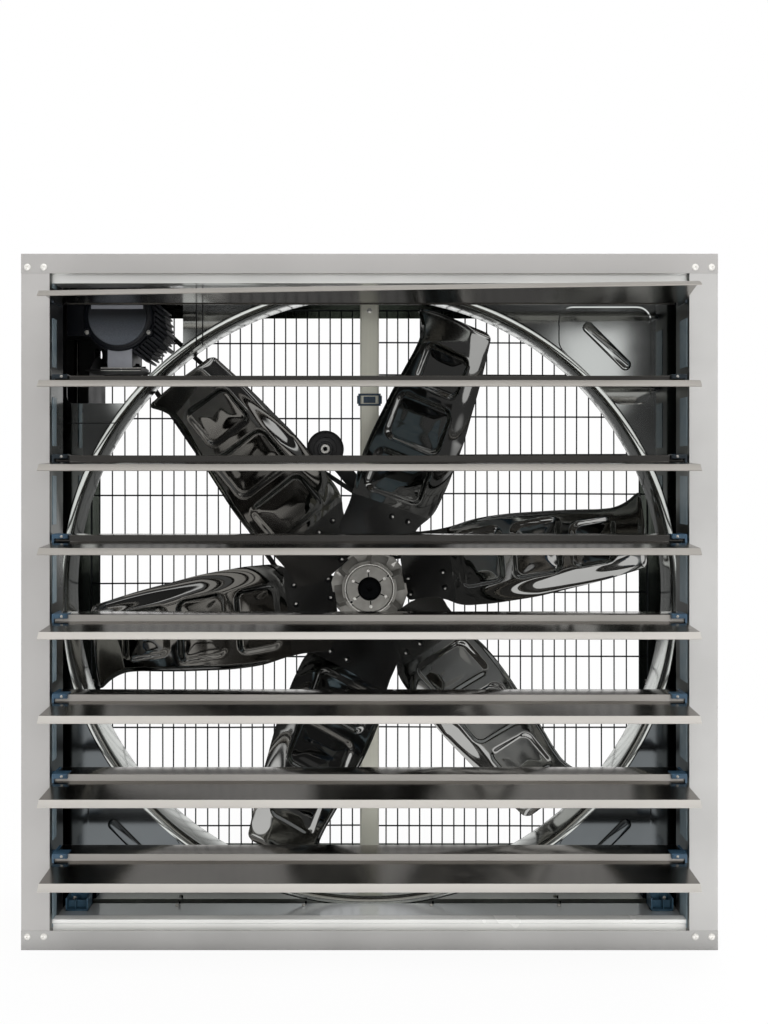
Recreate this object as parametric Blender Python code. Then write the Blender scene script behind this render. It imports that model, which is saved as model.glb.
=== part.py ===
"""Square box ventilation fan, belt driven, with an eight-blade opening shutter.

Metres, +Z up. The shutter and the air outlet face -Y, the air inlet and its wire guard face +Y.
The origin is the middle of the underside of the housing.
"""
import math

import bmesh
import bpy
from mathutils import Matrix, Vector

# Depths in line behind the front face: the shutter, then the motor, the belt and what carries it
PLATE_SETBACK = 0.123
MOTOR_PLATE_ROOM = 0.067
MOTOR_FRONT_BELL = 0.016
MOTOR_BODY_LENGTH = 0.098
MOTOR_BELT_ROOM = 0.031
BELT_REAR_ROOM = 0.065
MOTOR_FRONT_SETBACK = PLATE_SETBACK + MOTOR_PLATE_ROOM
MOTOR_BODY_SETBACK = MOTOR_FRONT_SETBACK + MOTOR_FRONT_BELL
BELT_SETBACK = MOTOR_BODY_SETBACK + MOTOR_BODY_LENGTH + MOTOR_BELT_ROOM

# Housing of folded galvanised sheet, as deep as what it holds
HOUSING_WIDTH = 1.380
HOUSING_HEIGHT = 1.380
HOUSING_DEPTH = BELT_SETBACK + BELT_REAR_ROOM
PANEL_SHEET = 0.0012
FRONT_RAIL_FLANGE = 0.039
FRONT_SIDE_FLANGE = 0.0566
REAR_RAIL_FLANGE = 0.072
REAR_SIDE_FLANGE = 0.054
SEAT_GAP = 0.0003
MERGE_DISTANCE = 0.000001

# Orifice plate with its throat ring and the window in front of the motor
THROAT_MARGIN = 0.055
THROAT_RADIUS = min(HOUSING_WIDTH, HOUSING_HEIGHT) / 2 - THROAT_MARGIN
THROAT_REAR_ROOM = 0.185
THROAT_LENGTH = HOUSING_DEPTH - PLATE_SETBACK - THROAT_REAR_ROOM
THROAT_FILLET = 0.015
THROAT_BORDER = 0.0025
THROAT_SEGMENTS = 72
FAN_AXIS_HEIGHT = HOUSING_HEIGHT / 2
WINDOW_SIDE_MARGIN = 0.056
WINDOW_TOP_MARGIN = 0.046
WINDOW_SIZE = 0.243
WINDOW_LEFT = WINDOW_SIDE_MARGIN - HOUSING_WIDTH / 2
WINDOW_TOP = HOUSING_HEIGHT - WINDOW_TOP_MARGIN
WINDOW_CORNER = 0.014

# Shutter frame inside the front of the housing
JAMB_REACH = 0.0575
OPENING_HALF_WIDTH = HOUSING_WIDTH / 2 - JAMB_REACH
JAMB_PLATE_ROOM = 0.033
JAMB_DEPTH = PLATE_SETBACK - JAMB_PLATE_ROOM
JAMB_SLOT_WIDTH = 0.022
JAMB_SLOT_SETBACK = 0.023
JAMB_SLOT_MARGIN = 0.038
RAIL_PLATE_ROOM = 0.011
RAIL_DEPTH = PLATE_SETBACK - RAIL_PLATE_ROOM
RAIL_HEIGHT = 0.048
RAIL_REBATE_HEIGHT = 0.038
RAIL_REBATE_DEPTH = 0.018

# Shutter blades, open; the pivot line runs under the channel at each blade's rear
LOUVRE_COUNT = 8
LOUVRE_FIRST_HEIGHT = 0.187
LOUVRE_TOP_MARGIN = 0.0919
LOUVRE_PITCH = (HOUSING_HEIGHT - LOUVRE_FIRST_HEIGHT - LOUVRE_TOP_MARGIN) / (LOUVRE_COUNT - 1)
LOUVRE_END_ROOM = 0.0125
LOUVRE_LENGTH = 2 * (OPENING_HALF_WIDTH - LOUVRE_END_ROOM)
LOUVRE_SHEET = 0.0010
PIVOT_SETBACK = 0.020
LOUVRE_REAR_REACH = 0.025
LOUVRE_HEM = 0.0097
CHANNEL_RISE = 0.0067
CHANNEL_FRONT = 0.027
STEP_SLANT = 0.002
STEP_DROP = 0.0127
LOUVRE_LAP_ROOM = 0.0133
LOUVRE_FRONT_REACH = LOUVRE_PITCH - LOUVRE_LAP_ROOM
LOUVRE_LIP = 0.015

# Plastic bush at each end of a shutter blade, with its crank, and the tie rods
BUSH_LENGTH = 0.026
BUSH_CHEEK = 0.004
BUSH_FLAP = 0.002
BUSH_FLAP_REACH = 0.015
BUSH_NOSE = 0.0067
BUSH_CHEEK_DROP = 0.008
PIN_RADIUS = 0.0055
PIN_CLEARANCE = 0.0004
PIN_SEGMENTS = 12
CRANK_RADIUS = 0.024
CRANK_ANGLE = math.radians(-38.0)
CRANK_HALF_WIDTH = 0.006
CRANK_THICKNESS = 0.004
CRANK_PIN_RADIUS = 0.003
ROD_WIDTH = 0.014
ROD_THICKNESS = 0.003
ROD_END = 0.010
ROD_SIDE_GAP = 0.0005
ROD_CRANK_GAP = 0.0008

# Corner guides of plastic on the bottom rail
GUIDE_WIDTH = 0.046
GUIDE_DEPTH = 0.036
GUIDE_HEIGHT = 0.026
GUIDE_WALL = 0.003
GUIDE_SIDE_OFFSET = 0.010
GUIDE_REAR_OFFSET = 0.004

# Rear wire guard, two panels, and the upright bar between them
GUARD_WIRE = 0.003
GUARD_BORDER_LAP = 0.020
GUARD_COLUMNS = 5
GUARD_ROWS = 10
GUARD_MIDDLE_GAP = 0.003
BAR_WIDTH = 0.040
BAR_DEPTH = 0.022
BAR_SHEET = 0.002

# Belt drive: V-belt, pulleys and idler
BELT_TOP_WIDTH = 0.013
BELT_BOTTOM_WIDTH = 0.008
BELT_HEIGHT = 0.008
GROOVE_CLEARANCE = 0.00035
GROOVE_ROOT = 0.003
DRIVEN_RADIUS = 0.156
DRIVEN_RIM_WIDTH = 0.024
DRIVEN_RIM_DEPTH = 0.007
DRIVEN_WEB = 0.006
DRIVEN_BOSS_RADIUS = 0.030
DRIVEN_BOSS_LENGTH = 0.030
DRIVEN_WEB_REAR_ROOM = 0.100
MOTOR_PULLEY_RADIUS = 0.041
MOTOR_PULLEY_WIDTH = 0.024
IDLER_SPAN_SHARE = 0.36805
IDLER_OFFSET = 0.13455
IDLER_RADIUS = 0.042
IDLER_WIDTH = 0.024
IDLER_RECESS_RADIUS = 0.017
IDLER_RECESS = 0.003
IDLER_STUD_RADIUS = 0.008
IDLER_HEAD_RADIUS = 0.011
IDLER_HEAD = 0.005
IDLER_SHOULDER_RADIUS = 0.012
ARM_PIVOT_RISE = 0.190
ARM_PIVOT_Z = FAN_AXIS_HEIGHT + ARM_PIVOT_RISE
ARM_WIDTH = 0.034
ARM_THICKNESS = 0.006
PULLEY_SEGMENTS = 48
SMALL_SEGMENTS = 24
BELT_ARC_STEP = math.radians(6.0)

# Fan rotor
SHAFT_RADIUS = 0.0125
SHAFT_CLEARANCE = 0.0003
SHAFT_END_REAR_ROOM = 0.030
SHAFT_HEAD_RADIUS = 0.025
SHAFT_HEAD = 0.012
BLADE_TIP_ROOM = 0.010
BLADE_TIP_RADIUS = THROAT_RADIUS - BLADE_TIP_ROOM
HUB_FACE_REAR_ROOM = 0.170
HUB_FACE_SETBACK = HOUSING_DEPTH - HUB_FACE_REAR_ROOM
HUB_RING_RADIUS = 0.053
HUB_RING_HEIGHT = 0.016
HUB_BODY_RADIUS = 0.076
HUB_BODY_DEPTH = 0.038
HUB_POCKET = 0.016
ARM_PLANE_DEPTH = 0.032
ARM_PLANE_SETBACK = HUB_FACE_SETBACK + ARM_PLANE_DEPTH
HUB_ARM_WIDTH = 0.064
HUB_ARM_THICKNESS = 0.006
HUB_ARM_INNER = 0.050
HUB_ARM_OUTER = 0.185
HUB_ARM_OFFSET = -0.009
BEARING_RADIUS = 0.038
BEARING_REAR_ROOM = 0.074
BEARING_FOOT_WIDTH = 0.036
BEARING_FOOT_HEIGHT = 0.130
BEARING_FOOT_THICKNESS = 0.008

# Fan blades: pressed stainless sheet
BLADE_COUNT = 6
BLADE_FIRST_ANGLE = math.radians(10.0)
BLADE_SHEET = 0.0015
BLADE_ROOT_PITCH = math.radians(36.0)
BLADE_TIP_PITCH = math.radians(26.0)
BLADE_ROOT_GAP = 0.002
BLADE_ROOT_RADIUS = HUB_BODY_RADIUS + BLADE_ROOT_GAP
BLADE_FLAT_MARGIN = 0.001
BLADE_FLAT_RADIUS = HUB_ARM_OUTER + BLADE_FLAT_MARGIN
BLADE_CAMBER_SHARE = 0.05
# place from root to tip, then the reach anticlockwise and clockwise over the tip radius
BLADE_OUTLINE_SHARES = (
    (0.000, 0.104, 0.072),
    (0.048, 0.174, 0.072),
    (0.104, 0.176, 0.080),
    (0.157, 0.173, 0.092),
    (0.205, 0.174, 0.122),
    (0.314, 0.190, 0.134),
    (0.429, 0.188, 0.135),
    (0.566, 0.176, 0.131),
    (0.669, 0.165, 0.124),
    (0.754, 0.154, 0.119),
    (0.829, 0.144, 0.113),
    (0.886, 0.142, 0.107),
    (0.937, 0.154, 0.101),
    (1.000, 0.186, 0.094),
)
BLADE_CHORD_STEPS = 4

# Motor and its bracket
MOTOR_SIDE_MARGIN = 0.146
MOTOR_TOP_MARGIN = 0.096
MOTOR_X = MOTOR_SIDE_MARGIN - HOUSING_WIDTH / 2
MOTOR_Z = HOUSING_HEIGHT - MOTOR_TOP_MARGIN
MOTOR_RADIUS = 0.078
MOTOR_BORE = 0.041
MOTOR_FIN_RADIUS = 0.112
MOTOR_FIN_COUNT = 9
MOTOR_FIN_START = math.radians(-58.0)
MOTOR_FIN_END = math.radians(44.0)
FIN_ROOT_SHARE = 0.62
FIN_TIP_SHARE = 0.34
MOTOR_BELL_RADIUS = 0.075
MOTOR_DISC_RADIUS = 0.0635
MOTOR_DISC_RISE = 0.003
MOTOR_REAR_BELL = 0.012
MOTOR_SHAFT_REAR_ROOM = 0.050
ROTOR_CORE_RADIUS = 0.039
ROTOR_CORE_MARGIN = 0.009
ROTOR_CORE_SETBACK = MOTOR_BODY_SETBACK + ROTOR_CORE_MARGIN
ROTOR_CORE_LENGTH = MOTOR_BODY_LENGTH - 2 * ROTOR_CORE_MARGIN
ROTOR_NOSE = 0.006
ROTOR_FRONT_SETBACK = MOTOR_BODY_SETBACK - ROTOR_NOSE
FOOT_WIDTH = 0.053
FOOT_BASE_WIDTH = 0.088
FOOT_BASE = 0.006
FOOT_DROP = 0.1117
SHELF_THICKNESS = 0.004
SHELF_RIGHT_REACH = 0.052
BRACKET_PLATE_OFFSET = 0.081
BRACKET_DROP = 0.224
BRACKET_RISE = 0.056
BRACKET_FRONT_REAR_ROOM = 0.155
BRACKET_NOTCH_REAR_ROOM = 0.050
BRACKET_NOTCH_DROP = 0.112
BRACKET_NOTCH_TOP_DROP = 0.069
BRACKET_EAR_REACH = 0.057
SHELF_MARGIN = 0.002
SHELF_FRONT_SETBACK = MOTOR_FRONT_SETBACK + SHELF_MARGIN
SHELF_BELT_ROOM = 0.018
TERMINAL_BOX_HEIGHT = 0.080
TERMINAL_BOX_LENGTH_SHARE = 0.765
TERMINAL_BOX_SIDE_MARGIN = 0.006
TERMINAL_BOX_FRONT_MARGIN = 0.009
GLAND_RADIUS = 0.010
GLAND_LENGTH = 0.016
GLAND_BORE = 0.005
GLAND_BORE_DEPTH = 0.014

# How far a cutter runs past what it cuts
OVERRUN = 0.004

# Colours as linear RGB
GALVANISED = (0.46, 0.46, 0.45)
STAINLESS = (0.36, 0.36, 0.36)
CAST_ALUMINIUM = (0.30, 0.30, 0.29)
BLACK_PAINT = (0.012, 0.012, 0.013)
MOTOR_PAINT = (0.010, 0.013, 0.018)
BLACK_RUBBER = (0.010, 0.010, 0.010)
BLUE_PLASTIC = (0.028, 0.105, 0.235)
WIRE_ZINC = (0.18, 0.18, 0.18)


def setback(distance):
    """World Y of a place this far behind the front face."""
    return distance - HOUSING_DEPTH / 2


def clear_scene():
    for old in list(bpy.data.objects):
        bpy.data.objects.remove(old, do_unlink=True)


def material(name, colour, roughness, metallic):
    made = bpy.data.materials.new(name)
    made.use_nodes = True
    shader = made.node_tree.nodes["Principled BSDF"]
    shader.inputs["Base Color"].default_value = (*colour, 1.0)
    shader.inputs["Roughness"].default_value = roughness
    shader.inputs["Metallic"].default_value = metallic
    made.diffuse_color = (*colour, 1.0)
    return made


def finished(solid, name):
    """Close a bmesh into a mesh with its faces pointing out."""
    bmesh.ops.remove_doubles(solid, verts=solid.verts, dist=MERGE_DISTANCE)
    bmesh.ops.recalc_face_normals(solid, faces=solid.faces)
    mesh = bpy.data.meshes.new(name)
    solid.to_mesh(mesh)
    solid.free()
    return mesh


AXIS_POINT = {
    "X": lambda a, b, along: (along, a, b),
    "Y": lambda a, b, along: (a, along, b),
    "Z": lambda a, b, along: (a, b, along),
}


def prism(outline, axis, start, end):
    """Extrude a flat outline along an axis; the outline gives the other two axes in order."""
    place = AXIS_POINT[axis]
    solid = bmesh.new()
    near = [solid.verts.new(place(a, b, start)) for a, b in outline]
    far = [solid.verts.new(place(a, b, end)) for a, b in outline]
    solid.faces.new(near)
    solid.faces.new(far)
    count = len(outline)
    for index in range(count):
        following = (index + 1) % count
        solid.faces.new((near[index], near[following], far[following], far[index]))
    return finished(solid, "prism")


def box(x0, x1, y0, y1, z0, z1):
    return prism([(x0, y0), (x1, y0), (x1, y1), (x0, y1)], "Z", z0, z1)


def circle(a, b, radius, segments):
    turns = [2 * math.pi * step / segments for step in range(segments)]
    return [(a + radius * math.cos(turn), b + radius * math.sin(turn)) for turn in turns]


def turned(profile, x, z, segments):
    """Turn a closed profile of (radius, world Y) points about a line along Y."""
    solid = bmesh.new()
    rings = []
    for radius, along in profile:
        if radius == 0:
            rings.append([solid.verts.new((x, along, z))] * segments)
        else:
            points = circle(x, z, radius, segments)
            rings.append([solid.verts.new((a, along, b)) for a, b in points])
    for index, ring in enumerate(rings):
        other = rings[(index + 1) % len(rings)]
        for step in range(segments):
            following = (step + 1) % segments
            corners = (ring[step], ring[following], other[following], other[step])
            distinct = list(dict.fromkeys(corners))
            if len(distinct) > 2:
                solid.faces.new(distinct)
    return finished(solid, "turned")


def combined(base, tool, operation):
    """Boolean of two meshes: UNION or DIFFERENCE."""
    target = bpy.data.objects.new("target", base)
    cutter = bpy.data.objects.new("cutter", tool)
    for temporary in (target, cutter):
        bpy.context.scene.collection.objects.link(temporary)
    step = target.modifiers.new("Boolean", "BOOLEAN")
    step.operation = operation
    step.solver = "EXACT"
    step.object = cutter
    graph = bpy.context.evaluated_depsgraph_get()
    mesh = bpy.data.meshes.new_from_object(target.evaluated_get(graph))
    for temporary in (target, cutter):
        bpy.data.objects.remove(temporary, do_unlink=True)
    return mesh


def joined(base, *tools):
    for tool in tools:
        base = combined(base, tool, "UNION")
    return base


def cut(base, *tools):
    for tool in tools:
        base = combined(base, tool, "DIFFERENCE")
    return base


def sheet_outline(path, thickness):
    """Closed outline of a folded sheet: the path and its mitred copy, thickness to the left."""
    points = [Vector(point) for point in path]
    copies = []
    for index, point in enumerate(points):
        sides = []
        if index > 0:
            sides.append((point - points[index - 1]).normalized())
        if index < len(points) - 1:
            sides.append((points[index + 1] - point).normalized())
        normals = [Vector((-side.y, side.x)) for side in sides]
        middle = sum(normals, Vector((0, 0))).normalized()
        copies.append(point + middle * (thickness / middle.dot(normals[0])))
    return [tuple(point) for point in points + copies[::-1]]


def add_part(name, mesh, finish, origin=(0, 0, 0), angle=0.0, parent=None, smooth=None):
    """Add a sub-part whose mesh is given about its own origin."""
    if not mesh.materials:
        mesh.materials.append(finish)
    else:
        mesh.materials[0] = finish
    if smooth is not None:
        mesh.shade_smooth()
        mesh.set_sharp_from_angle(angle=math.radians(smooth))
    part = bpy.data.objects.new(name, mesh)
    part.location = origin
    part.rotation_euler = (0, -angle, 0)
    part.parent = parent
    bpy.context.scene.collection.objects.link(part)
    return part


def moved(mesh, x, y, z):
    mesh.transform(Matrix.Translation((x, y, z)))
    return mesh


def empty(name, x, y, z):
    marker = bpy.data.objects.new(name, None)
    marker.location = (x, y, z)
    bpy.context.scene.collection.objects.link(marker)
    return marker


def channel(low, high, wall, inward, low_flange, high_flange, sheet):
    """Outline of a sheet channel: two flanges turned inward from a wall."""
    face = wall + inward * sheet
    return [
        (low, wall), (high, wall), (high, wall + inward * high_flange),
        (high - sheet, wall + inward * high_flange), (high - sheet, face),
        (low + sheet, face), (low + sheet, wall + inward * low_flange),
        (low, wall + inward * low_flange),
    ]


def swapped(outline):
    return [(b, a) for a, b in outline]


def add_rail_panels(finish):
    half = HOUSING_WIDTH / 2
    for name, wall, inward in (("bottom_panel", 0, 1), ("top_panel", HOUSING_HEIGHT, -1)):
        outline = channel(setback(0), setback(HOUSING_DEPTH), wall, inward,
                          FRONT_RAIL_FLANGE, REAR_RAIL_FLANGE, PANEL_SHEET)
        add_part(name, prism(outline, "X", -half, half), finish(name))


def add_side_panels(finish):
    low = PANEL_SHEET + SEAT_GAP
    high = HOUSING_HEIGHT - low
    for name, side in (("left_panel", -1), ("right_panel", 1)):
        wall = side * HOUSING_WIDTH / 2
        outline = swapped(channel(setback(0), setback(HOUSING_DEPTH), wall, -side,
                                  FRONT_SIDE_FLANGE, REAR_SIDE_FLANGE, PANEL_SHEET))
        panel = prism(outline, "Z", low, high)
        x0, x1 = sorted((wall + side * OVERRUN, 0))
        lap = PANEL_SHEET + SEAT_GAP
        ends = (
            (setback(0) - OVERRUN, setback(0) + lap, FRONT_RAIL_FLANGE),
            (setback(HOUSING_DEPTH) - lap, setback(HOUSING_DEPTH) + OVERRUN, REAR_RAIL_FLANGE),
        )
        for y0, y1, flange in ends:
            notch = flange + SEAT_GAP
            panel = cut(panel,
                        box(x0, x1, y0, y1, low - OVERRUN, notch),
                        box(x0, x1, y0, y1, HOUSING_HEIGHT - notch, high + OVERRUN))
        add_part(name, panel, finish(name))


def rounded_rectangle(x0, x1, z0, z1, radius, steps):
    """Outline of a rectangle with round corners."""
    outline = []
    corners = ((x1, z1, 0), (x0, z1, 1), (x0, z0, 2), (x1, z0, 3))
    for x, z, quarter in corners:
        middle_x = x - radius if x == x1 else x + radius
        middle_z = z - radius if z == z1 else z + radius
        for step in range(steps + 1):
            turn = (quarter + step / steps) * math.pi / 2
            outline.append((middle_x + radius * math.cos(turn), middle_z + radius * math.sin(turn)))
    return outline


def throat_profile():
    """Profile of the ring: a flat border, a rounded corner and a straight throat."""
    face = setback(PLATE_SETBACK)
    back = face + PANEL_SHEET
    outer = THROAT_RADIUS + THROAT_FILLET
    end = setback(PLATE_SETBACK + THROAT_LENGTH)
    path = [(outer + THROAT_BORDER, face)]
    steps = 3
    for step in range(steps + 1):
        turn = step / steps * math.pi / 2
        path.append((outer - THROAT_FILLET * math.sin(turn),
                     face + THROAT_FILLET * (1 - math.cos(turn))))
    path.append((THROAT_RADIUS, end))
    path.append((THROAT_RADIUS + PANEL_SHEET, end))
    inner_fillet = THROAT_FILLET - PANEL_SHEET
    for step in range(steps, -1, -1):
        turn = step / steps * math.pi / 2
        path.append((outer - inner_fillet * math.sin(turn),
                     back + inner_fillet * (1 - math.cos(turn))))
    path.append((outer + THROAT_BORDER, back))
    return path


def add_orifice_plate(finish):
    edge = PANEL_SHEET + SEAT_GAP
    half = HOUSING_WIDTH / 2 - edge
    y0 = setback(PLATE_SETBACK)
    y1 = y0 + PANEL_SHEET
    plate = box(-half, half, y0, y1, edge, HOUSING_HEIGHT - edge)
    hole = circle(0, FAN_AXIS_HEIGHT, THROAT_RADIUS + THROAT_FILLET, THROAT_SEGMENTS)
    window = rounded_rectangle(WINDOW_LEFT, WINDOW_LEFT + WINDOW_SIZE, WINDOW_TOP - WINDOW_SIZE, WINDOW_TOP,
                               WINDOW_CORNER, 2)
    plate = cut(plate, prism(window, "Y", y0 - OVERRUN, y1 + OVERRUN),
                prism(hole, "Y", y0 - OVERRUN, y1 + OVERRUN))
    ring = turned(throat_profile(), 0, FAN_AXIS_HEIGHT, THROAT_SEGMENTS)
    add_part("orifice_plate", joined(plate, ring), finish("orifice_plate"), smooth=35)


def louvre_height(index):
    """Pivot height of a shutter blade, counted from the bottom."""
    return LOUVRE_FIRST_HEIGHT + index * LOUVRE_PITCH


def add_jambs(finish):
    front = setback(PANEL_SHEET + SEAT_GAP)
    low = PANEL_SHEET + SEAT_GAP
    pivot_y = setback(PIVOT_SETBACK)
    for name, side in (("left_jamb", -1), ("right_jamb", 1)):
        wall = side * OPENING_HALF_WIDTH
        reach = HOUSING_WIDTH / 2 - PANEL_SHEET - SEAT_GAP - OPENING_HALF_WIDTH
        outline = swapped(channel(front, setback(JAMB_DEPTH), wall, side, reach, reach, PANEL_SHEET))
        jamb = prism(outline, "Z", low, HOUSING_HEIGHT - low)
        x0, x1 = sorted((wall - side * OVERRUN, wall + side * (PANEL_SHEET + OVERRUN)))
        slot_y = setback(JAMB_SLOT_SETBACK)
        for index in range(LOUVRE_COUNT):
            height = louvre_height(index)
            hole = circle(pivot_y, height, PIN_RADIUS + PIN_CLEARANCE, PIN_SEGMENTS)
            jamb = cut(jamb, prism(hole, "X", x0, x1))
            if index < LOUVRE_COUNT - 1:
                jamb = cut(jamb, box(x0, x1, slot_y, slot_y + JAMB_SLOT_WIDTH,
                                     height + JAMB_SLOT_MARGIN,
                                     height + LOUVRE_PITCH - JAMB_SLOT_MARGIN))
        add_part(name, jamb, finish(name))


def add_shutter_rails(finish):
    half = OPENING_HALF_WIDTH - SEAT_GAP
    front = setback(PANEL_SHEET + SEAT_GAP)
    foot = PANEL_SHEET + SEAT_GAP
    for name, up in (("bottom_rail", True), ("top_rail", False)):
        path = [
            (front, foot), (front, RAIL_REBATE_HEIGHT),
            (setback(RAIL_REBATE_DEPTH), RAIL_REBATE_HEIGHT), (setback(RAIL_REBATE_DEPTH), RAIL_HEIGHT),
            (setback(RAIL_DEPTH), RAIL_HEIGHT), (setback(RAIL_DEPTH), foot),
        ]
        outline = sheet_outline(path[::-1], PANEL_SHEET)
        if not up:
            outline = [(y, HOUSING_HEIGHT - z) for y, z in outline]
        add_part(name, prism(outline, "X", -half, half), finish(name))


def louvre_mesh():
    """A shutter blade about its pivot line, open: hem, channel, step, broad plate and lip."""
    path = [
        (LOUVRE_REAR_REACH, CHANNEL_RISE - LOUVRE_HEM), (LOUVRE_REAR_REACH, CHANNEL_RISE),
        (-CHANNEL_FRONT, CHANNEL_RISE), (-CHANNEL_FRONT - STEP_SLANT, CHANNEL_RISE - STEP_DROP),
        (-LOUVRE_FRONT_REACH, CHANNEL_RISE - STEP_DROP),
        (-LOUVRE_FRONT_REACH, CHANNEL_RISE - STEP_DROP - LOUVRE_LIP),
    ]
    outline = sheet_outline(path, LOUVRE_SHEET)
    return prism(outline, "X", -LOUVRE_LENGTH / 2, LOUVRE_LENGTH / 2)


def crank_pin():
    """Place of the crank pin behind and below the pivot line, as (Y, Z)."""
    return CRANK_RADIUS * math.cos(CRANK_ANGLE), CRANK_RADIUS * math.sin(CRANK_ANGLE)


def rod_inner_face():
    return OPENING_HALF_WIDTH + PANEL_SHEET + ROD_SIDE_GAP


def crank_outline():
    """A link with two round ends, from the pivot line to the crank pin."""
    far_y, far_z = crank_pin()
    outline = []
    for y, z, start in ((0, 0, CRANK_ANGLE + math.pi / 2), (far_y, far_z, CRANK_ANGLE - math.pi / 2)):
        for step in range(5):
            turn = start + step * math.pi / 4
            outline.append((y + CRANK_HALF_WIDTH * math.cos(turn), z + CRANK_HALF_WIDTH * math.sin(turn)))
    return outline


def bush_mesh(side):
    """Plastic bush of one blade end, about the pivot line: cap, cheek, pin, crank and crank pin."""
    end = LOUVRE_LENGTH / 2
    flap_low = CHANNEL_RISE + SEAT_GAP
    flap_high = flap_low + BUSH_FLAP
    nose_back = -CHANNEL_FRONT - STEP_SLANT - SEAT_GAP
    nose_front = nose_back - BUSH_NOSE
    nose_low = CHANNEL_RISE - STEP_DROP + SEAT_GAP
    cap = [(BUSH_FLAP_REACH, flap_low), (BUSH_FLAP_REACH, flap_high), (nose_front, flap_high),
           (nose_front, nose_low), (nose_back, nose_low), (nose_back, flap_low)]
    cheek = [(BUSH_FLAP_REACH, -BUSH_CHEEK_DROP), (BUSH_FLAP_REACH, flap_high),
             (nose_front, flap_high), (nose_front, -BUSH_CHEEK_DROP)]
    cheek_start = end + SEAT_GAP
    cheek_end = cheek_start + BUSH_CHEEK
    crank_start = rod_inner_face() + ROD_THICKNESS + ROD_CRANK_GAP
    crank_end = crank_start + CRANK_THICKNESS
    buried = BUSH_CHEEK / 2
    pin = circle(0, 0, PIN_RADIUS, PIN_SEGMENTS)
    far_y, far_z = crank_pin()
    small_pin = circle(far_y, far_z, CRANK_PIN_RADIUS, PIN_SEGMENTS)
    pieces = [
        prism(cap, "X", side * (end - BUSH_LENGTH), side * (cheek_start + buried)),
        prism(pin, "X", side * (cheek_start + buried), side * (crank_start + CRANK_THICKNESS / 2)),
        prism(crank_outline(), "X", side * crank_start, side * crank_end),
        prism(small_pin, "X", side * rod_inner_face(), side * (crank_start + CRANK_THICKNESS / 2)),
    ]
    return joined(prism(cheek, "X", side * cheek_start, side * cheek_end), *pieces)


def add_shutter(finish):
    blade = louvre_mesh()
    bushes = {"left": bush_mesh(-1), "right": bush_mesh(1)}
    for index in range(LOUVRE_COUNT):
        number = LOUVRE_COUNT - index
        origin = (0, setback(PIVOT_SETBACK), louvre_height(index))
        add_part(f"louvre_{number}", blade, finish("louvre"), origin)
        for hand, mesh in bushes.items():
            add_part(f"louvre_bush_{hand}_{number}", mesh, finish("louvre_bush"), origin)


def add_tie_rods(finish):
    pin_y, pin_z = crank_pin()
    y = setback(PIVOT_SETBACK) + pin_y
    low = louvre_height(0) + pin_z
    high = louvre_height(LOUVRE_COUNT - 1) + pin_z
    for name, side in (("left_tie_rod", -1), ("right_tie_rod", 1)):
        x0, x1 = sorted((side * rod_inner_face(), side * (rod_inner_face() + ROD_THICKNESS)))
        rod = box(x0, x1, y - ROD_WIDTH / 2, y + ROD_WIDTH / 2, low - ROD_END, high + ROD_END)
        for index in range(LOUVRE_COUNT):
            hole = circle(y, louvre_height(index) + pin_z, CRANK_PIN_RADIUS + PIN_CLEARANCE, PIN_SEGMENTS)
            rod = cut(rod, prism(hole, "X", x0 - OVERRUN, x1 + OVERRUN))
        add_part(name, moved(rod, 0, -y, -high), finish("tie_rod"), (0, y, high))


def add_corner_guides(finish):
    """Open-fronted plastic guides that stand on the bottom rail beside the jambs."""
    low = RAIL_HEIGHT + SEAT_GAP
    y1 = setback(RAIL_DEPTH - GUIDE_REAR_OFFSET)
    y0 = y1 - GUIDE_DEPTH
    for name, side in (("left_corner_guide", -1), ("right_corner_guide", 1)):
        outer = OPENING_HALF_WIDTH - GUIDE_SIDE_OFFSET
        x0, x1 = sorted((side * outer, side * (outer - GUIDE_WIDTH)))
        guide = box(x0, x1, y0, y1, low, low + GUIDE_HEIGHT)
        pocket = box(x0 + GUIDE_WALL, x1 - GUIDE_WALL, y0 - OVERRUN, y1 - GUIDE_WALL,
                     low + GUIDE_WALL, low + GUIDE_HEIGHT + OVERRUN)
        add_part(name, cut(guide, pocket), finish("corner_guide"))


def guard_mesh(x0, x1, z0, z1):
    """One guard panel: a border and crossing wires as a single flat lattice."""
    centres_x = [x0 + GUARD_WIRE + (x1 - x0 - 2 * GUARD_WIRE) * step / GUARD_COLUMNS
                 for step in range(GUARD_COLUMNS + 1)]
    centres_z = [z0 + GUARD_WIRE + (z1 - z0 - 2 * GUARD_WIRE) * step / GUARD_ROWS
                 for step in range(GUARD_ROWS + 1)]
    edges_x = [place + sign * GUARD_WIRE for place in centres_x for sign in (-1, 1)]
    edges_z = [place + sign * GUARD_WIRE for place in centres_z for sign in (-1, 1)]
    solid = bmesh.new()
    layers = []
    for y in (guard_front(), guard_front() + GUARD_WIRE):
        layers.append([[solid.verts.new((x, y, z)) for z in edges_z] for x in edges_x])
    columns = len(edges_x) - 1
    rows = len(edges_z) - 1

    def filled(column, row):
        inside = 0 <= column < columns and 0 <= row < rows
        return inside and (column % 2 == 0 or row % 2 == 0)

    for column in range(columns):
        for row in range(rows):
            if not filled(column, row):
                continue
            corners = [(column, row), (column + 1, row), (column + 1, row + 1), (column, row + 1)]
            for layer in layers:
                solid.faces.new([layer[i][j] for i, j in corners])
            beside = [(column, row - 1), (column + 1, row), (column, row + 1), (column - 1, row)]
            for side, neighbour in enumerate(beside):
                if not filled(*neighbour):
                    (i, j), (k, m) = corners[side], corners[(side + 1) % 4]
                    solid.faces.new((layers[0][i][j], layers[0][k][m], layers[1][k][m], layers[1][i][j]))
    return finished(solid, "guard")


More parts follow.
